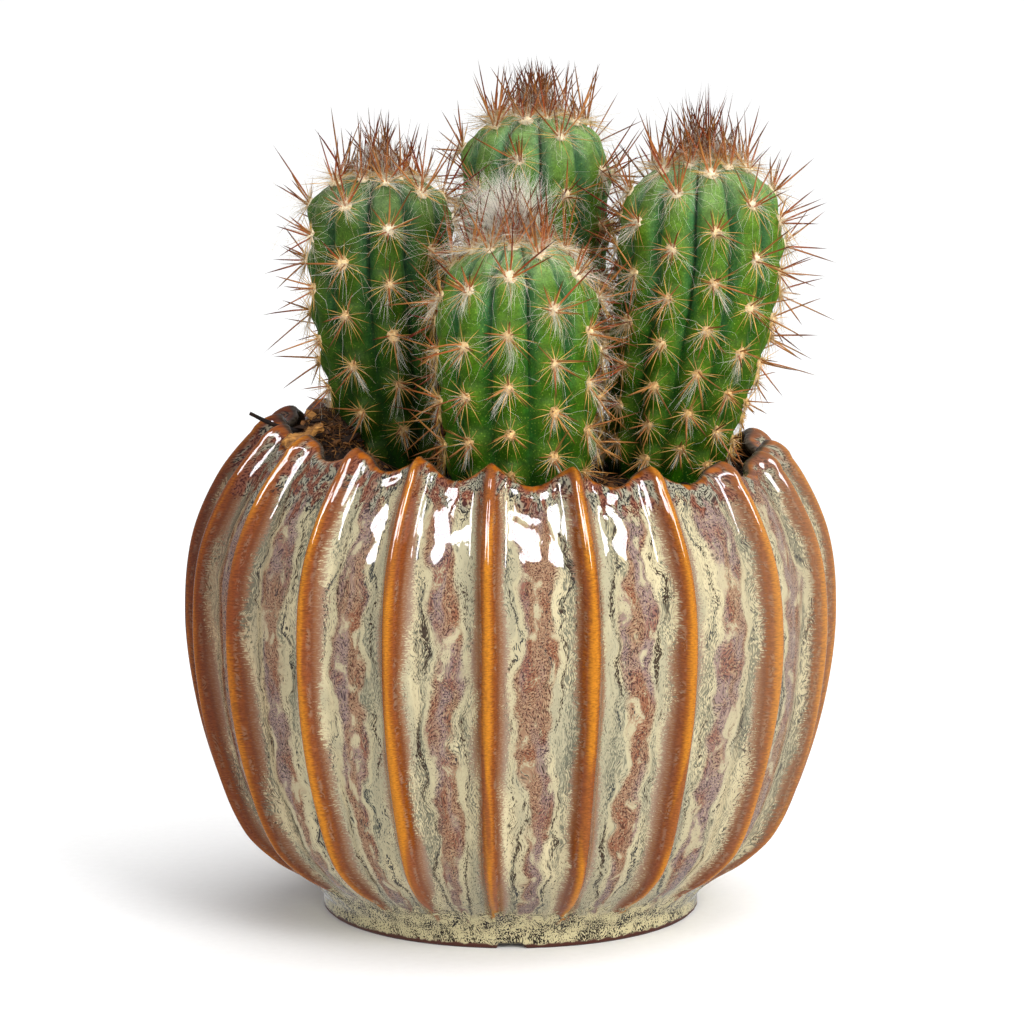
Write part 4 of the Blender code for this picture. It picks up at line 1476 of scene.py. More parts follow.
SOIL_Z = POT.inner_rows_mm[0] * MM
# The x and y of a rise or a hollow in the soil, its spread and its height.
SOIL_MOUND = (-50.0 * MM, -14.0 * MM, 10.5 * MM, 14.5 * MM)
SOIL_HOLLOW = (66.0 * MM, 2.0 * MM, 10.0 * MM, -8.0 * MM)


def soil_height(x: Array, y: Array) -> Array:
    """The mean height of the soil's surface.

    Args:
        x: Places to the right.
        y: The same places to the back.

    Returns:
        The height at each.
    """
    z = np.zeros_like(np.asarray(x, float)) + SOIL_Z
    for mx, my, spread, rise in (SOIL_MOUND, SOIL_HOLLOW):
        z = z + rise * np.exp(-((x - mx) ** 2 + (y - my) ** 2) / (2 * spread**2))
    return z


def crumbs(x: Array, y: Array) -> Array:
    """How far the crumbly surface stands over or under the soil's mean height."""
    flat = np.stack([x / MM, y / MM, np.zeros_like(x)], axis=-1)
    return MM * (1.3 * lumps(flat, 8.0, 2) + 0.9 * lumps(flat, 3.2, 4) + 0.4 * lumps(flat, 1.5, 6))


@dataclass(frozen=True)
class SpineKind:
    """How one kind of spine grows from an areole.

    The length of a brush spine is a share of the stem's brush.
    """

    lean_deg: tuple
    length_mm: tuple
    radius_mm: float
    brown: tuple
    sides: int
    steps: tuple
    taper: tuple


class Growth(Enum):
    """The kinds of spine."""

    RADIAL = SpineKind(
        lean_deg=(62.0, 88.0), length_mm=(4.6, 9.8),
        radius_mm=0.105, brown=(0.0, 0.45), sides=3,
        steps=(-0.06, 0.5, 1.0),
        taper=(1.0, 0.85, 0.0),
    )
    CENTRAL = SpineKind(
        lean_deg=(6.0, 58.0), length_mm=(6.0, 18.5),
        radius_mm=0.235, brown=(0.7, 1.0), sides=4,
        steps=(-0.06, 0.35, 0.72, 1.0),
        taper=(1.0, 0.95, 0.7, 0.0),
    )
    BRUSH = SpineKind(
        lean_deg=(0.0, 42.0), length_mm=(0.3, 0.58),
        radius_mm=0.125, brown=(0.92, 1.0), sides=3,
        steps=(-0.06, 0.5, 1.0),
        taper=(1.0, 0.85, 0.0),
    )


class Strands:
    """One piece in the making: thin closed strands, and other meshes that go with them."""

    def __init__(self) -> None:
        """Starts with nothing."""
        self.points: list[Array] = []
        self.faces: list[Array] = []
        self.values: dict[str, list[Array]] = {}
        self.count = 0

    def add_mesh(self, points: Array, faces: list[Array], values: dict[str, Array]) -> None:
        """Adds a mesh.

        Args:
            points: Its vertices.
            faces: Its faces.
            values: A number for each vertex, by attribute name.
        """
        self.points.append(points)
        self.faces.extend(block + self.count for block in faces)
        for key, numbers in values.items():
            self.values.setdefault(key, []).append(np.asarray(numbers, float))
        self.count += len(points)

    def add(self, courses: Array, radii: Array, sides: int, values: dict[str, Array]) -> None:
        """Adds strands.

        Args:
            courses: Each strand's middle line, as (strands, points, 3).
            radii: The radius at each of those points.
            sides: How many sides a strand has.
            values: A number for each strand, by attribute name.
        """
        points, faces, place = strand_mesh(courses, radii, sides)
        spread = {key: np.asarray(numbers)[place[:, 0]] for key, numbers in values.items()}
        spread["along"] = place[:, 1] / (courses.shape[1] - 1)
        self.add_mesh(points, faces, spread)

    def build(self, name: str, material: Material) -> Piece:
        """Makes the piece.

        Args:
            name: Its name.
            material: Its finish.

        Returns:
            The object, whose attribute along runs from 0 at a strand's root to 1 at its tip.
        """
        values = {key: np.concatenate(parts) for key, parts in self.values.items()}
        return make_piece(name, np.concatenate(self.points), self.faces, material, values)


@dataclass
class Stem:
    """One stem dressed in pieces: its flesh, areole felt, spines and wool."""

    form: StemForm
    # The stems that it must stay clear of, and which one it is, for its own random draws.
    others: list[StemForm]
    number: int
    columns_a_rib: int = 14
    side_rows: int = 112
    dome_rows: int = 26
    # The half sizes of a felt pad and of the dome in it that its fuzz grows from.
    pad_mm: tuple = (1.7, 1.9, 1.05)
    in_pad_mm: tuple = (1.5, 1.7, 0.9)
    # The radius at the root of a felt hair, drawn coarser than a real one so that it shows.
    fuzz_mm: float = 0.09
    fuzz_a_pad: int = 46
    hair_mm: float = 0.024
    hair_taper: tuple = (1.2, 1.0, 1.0, 1.0, 0.85, 0.0)
    top: float = 235.4 * MM

    def __post_init__(self) -> None:
        """Finds the places and directions of the areoles."""
        form = self.form
        self.draw = np.random.default_rng(SEED + self.number)
        self.ribs, self.levels, self.to_tip = form.areoles()
        self.normal = form.outward(self.ribs, self.levels)
        angle = form.rib_angle(self.ribs)
        self.across = np.stack([-np.cos(angle), np.sin(angle), np.zeros_like(angle)], axis=-1)
        self.up = unit(np.cross(self.normal, self.across))
        regular = smooth(6 * MM, 12 * MM, self.to_tip)[:, None] * 0.95 * MM
        self.root = form.on_rib(self.ribs, self.levels, 0.4 * MM) + self.normal * regular
        self.share = np.clip(form.share(self.levels), 0.0, 1.0)
        self.crown = smooth(13 * MM, 5 * MM, self.to_tip)
        self.crowded = self._crowded()

    def _crowded(self) -> Array:
        """Finds areoles that face another stem close by.

        Returns:
            How close it is, from 0 to 1 at each areole.
        """
        ahead = self.root + self.normal * 6 * MM
        close = np.zeros(len(ahead))
        for other in self.others:
            near = smooth(11 * MM, 4 * MM, other.gap(ahead))
            close = np.maximum(close, near * (ahead[:, 2] < other.apex + 4 * MM))
        return close

    def build(self, skin: Material, felt: Material, spine: Material, hair: Material) -> None:
        """Makes all pieces of the stem.

        Args:
            skin: The flesh's finish.
            felt: The areoles' finish.
            spine: The spines' finish.
            hair: The wool's finish.
        """
        pieces = [self._flesh(skin), self._felt(felt), self._spines(spine), self._wool(hair)]
        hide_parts(self.form.name)

    def _from_areole(self, z: Array, shift: float) -> Array:
        """How far each height lies over the nearest areole of each rib.

        Args:
            z: The heights.
            shift: How far over the areoles to measure from.

        Returns:
            The distances, a row for each height and a column for each rib.
        """
        table = np.zeros((len(z), self.form.ribs))
        for rib in range(self.form.ribs):
            own = self.levels[(self.ribs == rib) & (self.to_tip > 7 * MM)] + shift
            away = z[:, None] - own[None, :]
            nearest = np.argmin(np.abs(away), axis=1)
            table[:, rib] = away[np.arange(len(z)), nearest]
        return table

    def _flesh(self, material: Material) -> Piece:
        """The ribbed body, with a swelling under each areole and a notch over it.

        Args:
            material: Its finish.

        Returns:
            The piece.
        """
        form = self.form
        low = form.soil_z - form.depth_mm * MM
        straight = np.linspace(form.soil_z - 1 * MM, form.apex - form.dome, self.side_rows)
        bend = np.sin(np.linspace(0.0, 1.0, self.dome_rows + 1)[1:] * math.pi / 2)
        levels = np.concatenate([[low], straight, form.apex - form.dome + form.dome * bend])
        levels[-1] = form.apex - 0.02 * MM
        columns = form.ribs * self.columns_a_rib
        turns = np.arange(columns) / self.columns_a_rib
        rib = np.round(turns).astype(int) % form.ribs
        off = np.abs(turns - np.round(turns)) * 2.0
        z = levels[:, None] * np.ones((1, columns))
        share = np.clip(form.share(z), 0.0, 1.0)
        reach = form.reach(z)
        low_part = 0.5 - 0.5 * np.cos(math.pi * off)
        high_part = 0.42 * off**2.0 + 0.58 * off**8
        blend = smooth(0.0, 0.7, share)
        section = low_part[None, :] * (1 - blend) + high_part[None, :] * blend
        radius = reach * (1.0 - form.groove(z) * section)
        crease = 0.035 * np.exp(-(((1.0 - off) / 0.12) ** 2))[None, :]
        radius = radius - reach * crease * smooth(0.3, 0.8, share)
        side = off[None, :] * math.pi * reach / form.ribs
        in_range = smooth(0.0, 3 * MM, z - form.soil_z - 2 * MM)
        in_range = in_range * smooth(0.0, 4 * MM, form.apex - 3 * MM - z)

        def near(tall_mm: float, wide_mm: float, shift_mm: float) -> Array:
            """A soft spot at each areole.

            Args:
                tall_mm: Its size along the rib.
                wide_mm: Its size across.
                shift_mm: How far up the rib it lies from the areole.

            Returns:
                1 at its middle and 0 away from it.
            """
            away = self._from_areole(levels, shift_mm * MM)[:, rib]
            spread = (away / (tall_mm * MM)) ** 2 + (side / (wide_mm * MM)) ** 2
            return np.exp(-spread / 2)

        lift = 1.3 * MM * near(2.9, 3.3, -0.7)
        lift = lift - 0.3 * MM * near(0.8, 2.8, 3.8) - 0.3 * MM * near(3.0, 4.0, 6.4)
        radius = radius + lift * in_range
        angle = form.rib_angle(turns)[None, :]
        centre = form.centre(z)
        x = centre[..., 0] + radius * np.sin(angle)
        y = centre[..., 1] + radius * np.cos(angle)
        points = np.stack([x, y, z], axis=-1).reshape(-1, 3)
        wave = 0.4 * lumps(points / MM, 14.0, 8) + 0.16 * lumps(points / MM, 3.6, 12)
        ones = np.ones_like(z)
        outward = np.stack([np.sin(angle) * ones, np.cos(angle) * ones, 0 * z], axis=-1)
        gentle = smooth(0.0, 0.1, share).reshape(-1, 1)
        points = points + wave[:, None] * MM * outward.reshape(-1, 3) * gentle
        points = np.concatenate([points, [[*form.centre(np.array(form.apex)), form.apex]]])
        tip = len(points) - 1
        last = (len(levels) - 1) * columns
        here = np.arange(columns)
        cap = np.stack([last + here, last + (here + 1) % columns, np.full(columns, tip)], axis=-1)
        faces = [grid_faces(len(levels), columns), cap, here[None, ::-1]]
        # Painted shade for the notch over each areole is marked here.
        areole, notch_shade = near(3.0, 3.0, 0.0) * in_range, near(0.7, 3.2, 3.6) * in_range
        crown = smooth(0.8, 1.0, share) * min(form.wool - 0.5, 1.0)
        values = {
            "share": np.append(share.ravel(), 1.0),
            "groove": np.append(np.broadcast_to(off[None, :], z.shape).ravel(), 0.5),
            "areole": np.append(areole.ravel(), 0.0),
            "notch_shade": np.append(notch_shade.ravel(), 0.0),
            "fresh": np.append(crown.ravel(), 1.0),
            "tone": np.full(share.size + 1, form.tone),
        }
        return make_piece(form.name + "_flesh", points, faces, material, values, recalculate=True)

    def _felt(self, material: Material) -> Piece:
        """The felt pads, domes with short matted hairs all over.

        Args:
            material: Its finish.

        Returns:
            The piece.
        """
        ball, triangles = icosphere(2)
        count = len(self.root)
        tint = self.draw.random(count)
        size = self.draw.uniform(0.85, 1.15, count) * (0.68 + 0.25 * self.share)
        size = size * (1.0 - 0.35 * self.crown)
        rough = 1.0 + 0.18 * self.draw.standard_normal((count, len(ball)))
        scaled = ball[None] * rough[..., None] * size[:, None, None] * np.array(self.pad_mm) * MM
        points = self._place(scaled) - self.normal[:, None, :] * 0.3 * MM
        faces = copied(triangles, count, len(ball))
        owner = np.repeat(np.arange(count), len(ball))
        felt = Strands()
        # Painted shade: the felt is tan where another stem is close.
        aged = self.share * (1.0 - 0.6 * self.crowded)
        values = {"share": aged[owner], "tint": tint[owner], "along": np.zeros(len(owner))}
        felt.add_mesh(points.reshape(-1, 3), [faces], values)
        shape = (count, self.fuzz_a_pad, 3)
        start = self.draw.standard_normal(shape)
        start[..., 2] = np.abs(start[..., 2]) * 0.7 + 0.1
        start = unit(start)
        from_pad = start * size[:, None, None] * np.array(self.in_pad_mm) * MM
        long = self.draw.uniform(0.6, 2.0, (count, self.fuzz_a_pad, 1)) * MM
        lean = unit(start + 0.5 * self.draw.standard_normal(shape))
        roots = self._place(from_pad).reshape(-1, 3)
        ends = self._place(from_pad + lean * long).reshape(-1, 3)
        courses = np.stack([roots, ends], axis=1)
        owner = np.repeat(np.arange(count), self.fuzz_a_pad)
        radii = np.tile([self.fuzz_mm, 0.0], (len(courses), 1)) * MM
        felt.add(courses, radii, 3, {"share": aged[owner], "tint": tint[owner]})
        return felt.build(self.form.name + "_felt", material)

    def _place(self, local: Array) -> Array:
        """Turns (across, up, out) offsets at each areole into places in the frame."""
        return along_axes(self.root, (self.across, self.up, self.normal), local)

    def _clear(self, root: Array, way: Array, length: Array) -> Array:
        """How long each spine may be without entering another stem, the pot or the soil.

        Args:
            root: Where each spine starts.
            way: Which way it points.
            length: How long it would be.

        Returns:
            The lengths, 0 for a spine with no room.
        """
        length = length.copy()
        for _ in range(9):
            blocked = np.zeros(len(length), bool)
            for share in (0.4, 0.6, 0.8, 1.0):
                point = root + way * (length * share)[:, None]
                blocked |= self._inside(point)
            if not blocked.any():
                break
            length[blocked] *= 0.8
        length[self._inside(root + way * length[:, None])] = 0.0
        return np.where(length < 1.6 * MM, 0.0, length)

    def _inside(self, point: Array) -> Array:
        """Finds points in another stem's flesh, in the soil or the pot, or out of bounds.

        Args:
            point: The points.

        Returns:
            Whether each is.
        """
        z = point[:, 2]
        hit = np.zeros(len(point), bool)
        for other in self.others:
            hit |= (other.gap(point) < 0.4 * MM) & (z < other.apex + 0.5 * MM)
        hit |= z < soil_height(point[:, 0], point[:, 1]) + 1.0 * MM
        out = np.linalg.norm(point[:, :2], axis=-1)
        wall = POT.inner_radius(np.minimum(z, POT.rim_valley_z), 0.0) - 0.5 * MM
        hit |= (z < POT.rim_tip_z + POT.rim_tilt + 0.5 * MM) & (out > wall)
        hit |= out > 90.0 * MM
        return hit | (z > self.top)

    def _grow(self, strands: Strands, kind: SpineKind, spines: dict[str, list]) -> None:
        """Adds the spines of one kind, shortened where they have no room.

        Args:
            strands: The piece in the making.
            kind: The kind.
            spines: The root, way, length and brownness of each.
        """
        draw = self.draw
        root, way = np.array(spines["root"]), np.array(spines["way"])
        length = self._clear(root, way, np.array(spines["length"]))
        kept = length > 0
        root, way, length = root[kept], way[kept], length[kept]
        steps, taper = np.array(kind.steps), np.array(kind.taper)
        bend = (0.03 * draw.standard_normal((len(root), 3)) - [0, 0, 0.02]) * length[:, None]
        along = length[:, None, None] * steps[None, :, None] * way[:, None, :]
        courses = root[:, None, :] + along + bend[:, None, :] * (steps**2)[None, :, None]
        radii = kind.radius_mm * MM * draw.uniform(0.8, 1.2, len(root))
        values = {"brown": np.array(spines["brown"])[kept], "tint": draw.random(len(root))}
        strands.add(courses, radii[:, None] * taper[None, :], kind.sides, values)

    def _spines(self, material: Material) -> Piece:
        """Radial and central spines at each areole, which close to an upright brush at the tip.

        Args:
            material: Its finish.

        Returns:
            The piece.
        """
        draw = self.draw
        strands = Strands()
        for growth in Growth:
            spines = {"root": [], "way": [], "length": [], "brown": []}
            for index in range(len(self.share)):
                count = self._count(growth, index)
                start = draw.uniform(0, 2 * math.pi)
                for number in range(count):
                    turn = start + 2 * math.pi * (number + draw.uniform(-0.35, 0.35)) / count
                    for key, value in self._spine(growth, index, turn).items():
                        spines[key].append(value)
            self._grow(strands, growth.value, spines)
        return strands.build(self.form.name + "_spines", material)

    def _count(self, growth: Growth, index: int) -> int:
        """How many spines of one kind an areole has.

        Args:
            growth: The kind.
            index: Which areole.

        Returns:
            Their number.
        """
        draw, crown = self.draw, self.crown[index]
        if growth is Growth.RADIAL:
            return int(round(draw.uniform(14, 19) * (1.0 - 0.75 * crown) + 24 * self.crowded[index]))
        if growth is Growth.CENTRAL:
            count = int(round(draw.uniform(2.8, 4.6) + 3.0 * smooth(0.45, 0.9, self.share[index])))
            return int(round(count * (1.0 - 0.6 * crown)))
        return int(round((2.2 + 4.0 * smooth(2 * MM, 8 * MM, self.to_tip[index])) * crown))

    def _spine(self, growth: Growth, index: int, turn: float) -> dict[str, Array | float]:
        """One spine.

        Args:
            growth: Its kind.
            index: Its areole.
            turn: Where it stands round the areole.

        Returns:
            Its root, way, length and brownness.
        """
        draw, kind = self.draw, growth.value
        share, crown = self.share[index], self.crown[index]
        across, up = self.across[index], self.up[index]
        lean = math.radians(draw.uniform(*kind.lean_deg))
        sideways = across * math.cos(turn) + up * math.sin(turn)
        way = self.normal[index] * math.cos(lean) + sideways * math.sin(lean)
        young = float(smooth(0.45, 1.0, share))
        aged = 0.85 + 0.15 * share
        if growth is Growth.RADIAL:
            way = way + up * (0.4 * young - 0.3)
            long = draw.uniform(*kind.length_mm) * (1.0 - 0.18 * math.sin(turn))
            long = long * (0.85 + 0.3 * share) * (1.0 - 0.4 * crown)
            aged = 0.5 + 0.55 * share
        elif growth is Growth.CENTRAL:
            way = way + up * (0.8 * young - 0.15) + np.array([0, 0, 0.7 * crown])
            low, high = kind.length_mm
            long = (low + (high - low) * draw.random() ** 1.1) * (0.8 + 0.28 * share)
        else:
            way = way + np.array([0, 0, 0.75]) + 0.12 * draw.standard_normal(3)
            long = draw.uniform(*kind.length_mm)
            if draw.random() < 0.22:
                long = draw.uniform(kind.length_mm[1], 1.12)
            long = long * self.form.brush_mm
        # Painted shade: spines are browner where another stem is close.
        brown = draw.uniform(*kind.brown) * aged + 0.45 * self.crowded[index]
        return {
            "root": self.root[index] + sideways * 0.8 * MM,
            "way": unit(way),
            "length": long * MM,
            "brown": min(brown, 1.0),
        }

    def _wool(self, material: Material) -> Piece:
        """Curly hairs over the flesh, locks that hang from the areoles, and the tip's tuft.

        Args:
            material: The wool's finish.

        Returns:
            The piece.
        """
        hairs = [self._loose(), self._locks(), self._tuft()]
        joined = {key: np.concatenate([hair[key] for hair in hairs]) for key in hairs[0]}
        joined["length"] = self._clear(joined["root"], joined["way"], joined["length"])
        kept = joined["length"] > 0
        joined = {key: numbers[kept] for key, numbers in joined.items()}
        courses = self._waves(joined)
        radii = self.hair_mm * MM * np.array(self.hair_taper)
        strands = Strands()
        strands.add(courses, np.tile(radii, (len(courses), 1)), 3, {"tint": joined["tint"]})
        return strands.build(self.form.name + "_wool", material)

    def _loose(self) -> dict[str, Array]:
        """Single curly hairs round each areole, browner as painted shade where two stems almost
        touch.

        Returns:
            The root, way, length, droop, tint, curl and group of each.
        """
        draw, form = self.draw, self.form
        wanted = 12.0 + 34.0 * smooth(0.2, 0.95, self.share) * form.wool**0.4 + 5.0 * self.crowded
        wanted = wanted * (1.0 - 0.75 * self.crown) * draw.uniform(0.7, 1.3, len(self.share))
        owner = np.repeat(np.arange(len(wanted)), np.round(wanted).astype(int))
        size = (len(owner), 1)
        spread = draw.normal(0.0, 1.0, size) * self.across[owner]
        way = self.normal[owner] * 0.55 + spread - self.up[owner] * draw.uniform(-0.5, 1.1, size)
        tint = draw.uniform(0.4, 0.95, len(owner))
        long = draw.gamma(4.0, 2.5, len(owner)) * (0.8 + 0.6 * self.share[owner])
        return {
            "root": self.root[owner] + 0.8 * MM * spread + 0.4 * MM * self.normal[owner],
            "way": unit(way),
            "length": np.minimum(long, 24.0) * MM,
            "droop": draw.uniform(0.05, 0.5, len(owner)),
            # Painted shade: hairs are browner where another stem is close.
            "tint": tint * (1.0 - self.crowded[owner] * draw.random(len(owner)) ** 0.2),
            "curl": np.full(len(owner), 0.46),
            "group": owner,
        }

    def _locks(self) -> dict[str, Array]:
        """Thin white locks, whose hairs lie close together and hang from some of the areoles.

        Returns:
            The root, way, length, droop, tint, curl and group of each.
        """
        draw = self.draw
        some = (draw.random(len(self.share)) < 0.62) & (self.to_tip > 9 * MM)
        count = np.where(some, draw.integers(10, 24, len(self.share)), 0)
        owner = np.repeat(np.arange(len(count)), count)
        lean = draw.normal(0.0, 0.45, len(self.share))[owner][:, None]
        long = draw.uniform(7.0, 16.0, len(self.share))[owner]
        loose = 0.1 * draw.standard_normal((len(owner), 3))
        way = -self.up[owner] + lean * self.across[owner] + 0.35 * self.normal[owner] + loose
        side = draw.normal(0.0, 0.45, (len(owner), 1)) * MM
        return {
            "root": self.root[owner] + side * self.across[owner] - 0.8 * MM * self.up[owner],
            "way": unit(way),
            "length": long * draw.uniform(0.5, 1.1, len(owner)) * MM,
            "droop": np.full(len(owner), 0.1),
            # Painted shade: locks are browner where another stem is close.
            "tint": draw.uniform(0.65, 1.0, len(owner)) * (1.0 - 0.85 * self.crowded[owner]),
            "curl": np.full(len(owner), 0.08),
            "group": owner,
        }

    def _tuft(self) -> dict[str, Array]:
        """The wool that stands between the brush's spines and over them, in pointed tufts.

        Returns:
            The root, way, length, droop, tint, curl and group of each.
        """
        draw, form = self.draw, self.form
        top = np.flatnonzero(self.crown > 0.4)
        count = int(330 * form.wool**1.7)
        weight = smooth(9 * MM, 1 * MM, self.to_tip[top]) + 0.06
        owner = draw.choice(top, count, p=weight / weight.sum())
        group = draw.integers(0, 12, count)
        lean = 0.3 * draw.standard_normal((12, 3))[group] + 0.16 * draw.standard_normal((count, 3))
        tall = form.brush_mm * (0.1 + 0.56 * form.wool)
        aside = draw.normal(0.0, 0.8, (count, 3)) + [0, 1.2 * form.wool, 0]
        return {
            "root": self.root[owner] + aside * MM,
            "way": unit(self.normal[owner] * 0.3 + np.array([0.0, 0.0, 0.85]) + lean),
            "length": tall * draw.uniform(0.5, 1.25, count) * MM,
            "droop": np.full(count, 0.02),
            "tint": draw.uniform(0.7, 1.0, count),
            "curl": np.full(count, 0.19),
            "group": group,
        }

    def _waves(self, hairs: dict[str, Array]) -> Array:
        """Wavy courses that sink under their own weight and stay outside the flesh.

        Args:
            hairs: The root, way, length, droop, curl and group of each hair.

        Returns:
            The courses, with a point for each part of a hair's taper.
        """
        form = self.form
        steps = len(self.hair_taper)
        way, place = hairs["way"].copy(), hairs["root"].copy()
        group, own = hairs["group"], hairs["curl"][:, None]
        sink = np.array([0.0, 0.0, -1.0]) * hairs["droop"][:, None]
        step = (hairs["length"] / (steps - 1))[:, None]
        courses = [place - way * 0.5 * MM]
        curl = own * self.draw.standard_normal(way.shape)
        for _ in range(steps - 1):
            courses.append(place.copy())
            shared = self.draw.standard_normal((group.max() + 1, 3))[group]
            curl = 0.3 * curl + own * self.draw.standard_normal(way.shape) + 0.16 * shared
            way = unit(way + curl + sink)
            place = place + way * step
            level = np.minimum(place[:, 2], form.apex)
            centre = form.centre(level)
            off = place[:, :2] - centre
            away = np.linalg.norm(off, axis=-1)
            least = np.maximum(form.reach(level) * 0.95 + 0.3 * MM, away)
            least = np.where(place[:, 2] < form.apex, least, away)
            place[:, :2] = centre + off * (least / np.maximum(away, 1e-9))[:, None]
            place[:, 2] = np.clip(place[:, 2], soil_height(place[:, 0], place[:, 1]) + MM, self.top)
        return np.stack(courses, axis=1)


@dataclass
class Soil:
    """The potting soil: its crumbly body, and the bark, fibre and grit that lie on it."""

    pot: PotForm
    segments: int = 168
    rings: int = 60
    # The x and y of the heaped litter, its spread and its height.
    heap_mm: tuple = (-51.5, -5.0, 6.0, 6.5)
    bit_count: int = 700
    bit_shape: tuple = (1.25, 0.7, 0.32)
    fibre_count: int = 1000
    fibre_taper: tuple = (0.8, 1.0, 1.0, 1.0, 0.9, 0.7, 0.0)

    def __post_init__(self) -> None:
        """Starts the soil's own random draws."""
        self.draw = np.random.default_rng(SEED * 3)

    def _wall(self, z: Array) -> Array:
        """The radius that the soil may fill at a height."""
        return self.pot.inner_radius(z, np.zeros_like(np.asarray(z, float))) - GAP

    def build(self, material: Material) -> Piece:
        """Makes the body, whose top has a hole for each stem.

        Args:
            material: Its finish.

        Returns:
            The piece that stands for the CAD soil.
        """
        pot = self.pot
        turn = 2 * math.pi * np.arange(self.segments) / self.segments
        flat = np.ones(self.segments)
        rings = [
            (4 * MM * flat, (pot.floor_z + GAP) * flat),
            ((pot.foot_radius - pot.wall - GAP) * flat, (pot.floor_z + GAP) * flat),
        ]
        rings += [(self._wall(z * MM) * flat, z * MM * flat) for z in reversed(pot.inner_rows_mm)]
        edge = float(self._wall(SOIL_Z))
        for step in range(1, self.rings):
            radius = edge * (1.0 - step / self.rings) * flat
            x, y = radius * np.cos(turn), radius * np.sin(turn)
            ease = smooth(0.0, 3 * MM, edge - radius)
            z = soil_height(x, y) + crumbs(x, y) * ease
            squeeze = np.minimum(1.0, self._wall(np.maximum(z, SOIL_Z)) / radius)
            for stem in STEMS:
                z = np.where(stem.from_foot(x, y) < -0.6 * MM, stem.soil_z - 12 * MM, z)
            rings.append((radius * squeeze, z))
        points = np.concatenate(
            [np.stack([r * np.cos(turn), r * np.sin(turn), z], axis=-1) for r, z in rings]
        )
        here = np.arange(self.segments)
        last = (len(rings) - 1) * self.segments
        faces = [grid_faces(len(rings), self.segments), here[None, ::-1], (last + here)[None, :]]
        piece = make_piece("soil_mix", points, faces, material, recalculate=True)
        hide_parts("soil")
        return piece

    def _heap(self, x: Array, y: Array) -> Array:
        """How high loose litter lies over the soil, heaped against the left rim."""
        away = np.hypot(x - self.heap_mm[0] * MM, y - self.heap_mm[1] * MM)
        return self.heap_mm[3] * MM * np.exp(-((away / (self.heap_mm[2] * MM)) ** 2) / 2)

    def _spots(self, count: int) -> tuple[Array, Array]:
        """Random places on the soil, clear of the stems, more of them on the heap and the mound.

        Args:
            count: How many.

        Returns:
            Their x and their y.
        """
        edge = float(self._wall(SOIL_Z)) - 3 * MM
        found = []
        while len(found) < count:
            if len(found) % 5 == 0:
                x = self.draw.normal(SOIL_MOUND[0], 9 * MM)
                y = self.draw.normal(SOIL_MOUND[1], 10 * MM)
            elif len(found) % 5 < 3:
                x, y = self.draw.normal(self.heap_mm[:2], self.heap_mm[2] * 1.1) * MM
            else:
                x, y = self.draw.uniform(-edge, edge, 2)
            level = float(soil_height(x, y))
            if math.hypot(x, y) > float(self._wall(max(level, SOIL_Z))) - 2.5 * MM:
                continue
            if min(stem.from_foot(x, y) for stem in STEMS) > 1.5 * MM:
                found.append((x, y))
        places = np.array(found)
        return places[:, 0], places[:, 1]

    def bits(self, material: Material) -> None:
        """Scatters bits of bark over the soil.

        Args:
            material: Their finish.
        """
        ball, triangles = icosphere(1)
        draw, count = self.draw, self.bit_count
        x, y = self._spots(count)
        turn = unit(draw.standard_normal((count, 3)))
        turn[:, 2] = np.abs(turn[:, 2]) + 1.2
        normal = unit(turn)
        along = unit(np.cross(normal, draw.standard_normal((count, 3))))
        side = np.cross(normal, along)
        size = draw.gamma(2.6, 0.34, count)[:, None, None] + 0.3
        shape = np.sign(ball) * np.abs(ball) ** 0.75
        rough = 1.0 + 0.2 * draw.standard_normal((count, len(ball), 1))
        local = shape[None] * rough * size * np.array(self.bit_shape) * MM
        level = soil_height(x, y) + crumbs(x, y) + 0.35 * MM
        base = np.stack([x, y, level + self._heap(x, y) * draw.random(count) ** 0.7], axis=-1)
        points = along_axes(base, (along, side, normal), local)
        faces = copied(triangles, count, len(ball))
        dark = np.repeat(draw.beta(2.2, 1.6, count), len(ball))
        bits = make_piece("soil_bark_bits", points.reshape(-1, 3), [faces], material, {"dark": dark})
        bits.data.shade_flat()

    def fibres(self, material: Material) -> None:
        """Scatters coir fibres over the soil, which follow its surface.

        Args:
            material: Their finish.
        """
        draw, count, steps = self.draw, self.fibre_count, len(self.fibre_taper)
        x, y = self._spots(count)
        pile = draw.uniform(0.3, 1.15, count)
        heading = draw.uniform(0, 2 * math.pi, count)
        length = draw.uniform(4.0, 15.0, count) * MM
        lift = draw.uniform(0.1, 1.6, count) * MM
        courses = []
        for step in range(steps):
            level = soil_height(x, y) + crumbs(x, y) + self._heap(x, y) * pile
            out = np.hypot(x, y)
            limit = self._wall(np.maximum(level, SOIL_Z)) - 1.2 * MM
            pull = np.minimum(1.0, limit / out)
            x, y = x * pull, y * pull
            rise = lift * math.sin(math.pi * (step + 0.5) / steps)
            courses.append(np.stack([x, y, level + rise], axis=-1))
            heading = heading + draw.normal(0.0, 0.5, count)
            x = x + np.cos(heading) * length / steps
            y = y + np.sin(heading) * length / steps
        radii = draw.uniform(0.07, 0.18, count)[:, None] * np.array(self.fibre_taper) * MM
        strands = Strands()
        strands.add(np.stack(courses, 1), radii, 3, {"dark": draw.beta(2.0, 2.0, count)})
        fibres = strands.build("soil_fibres", material)


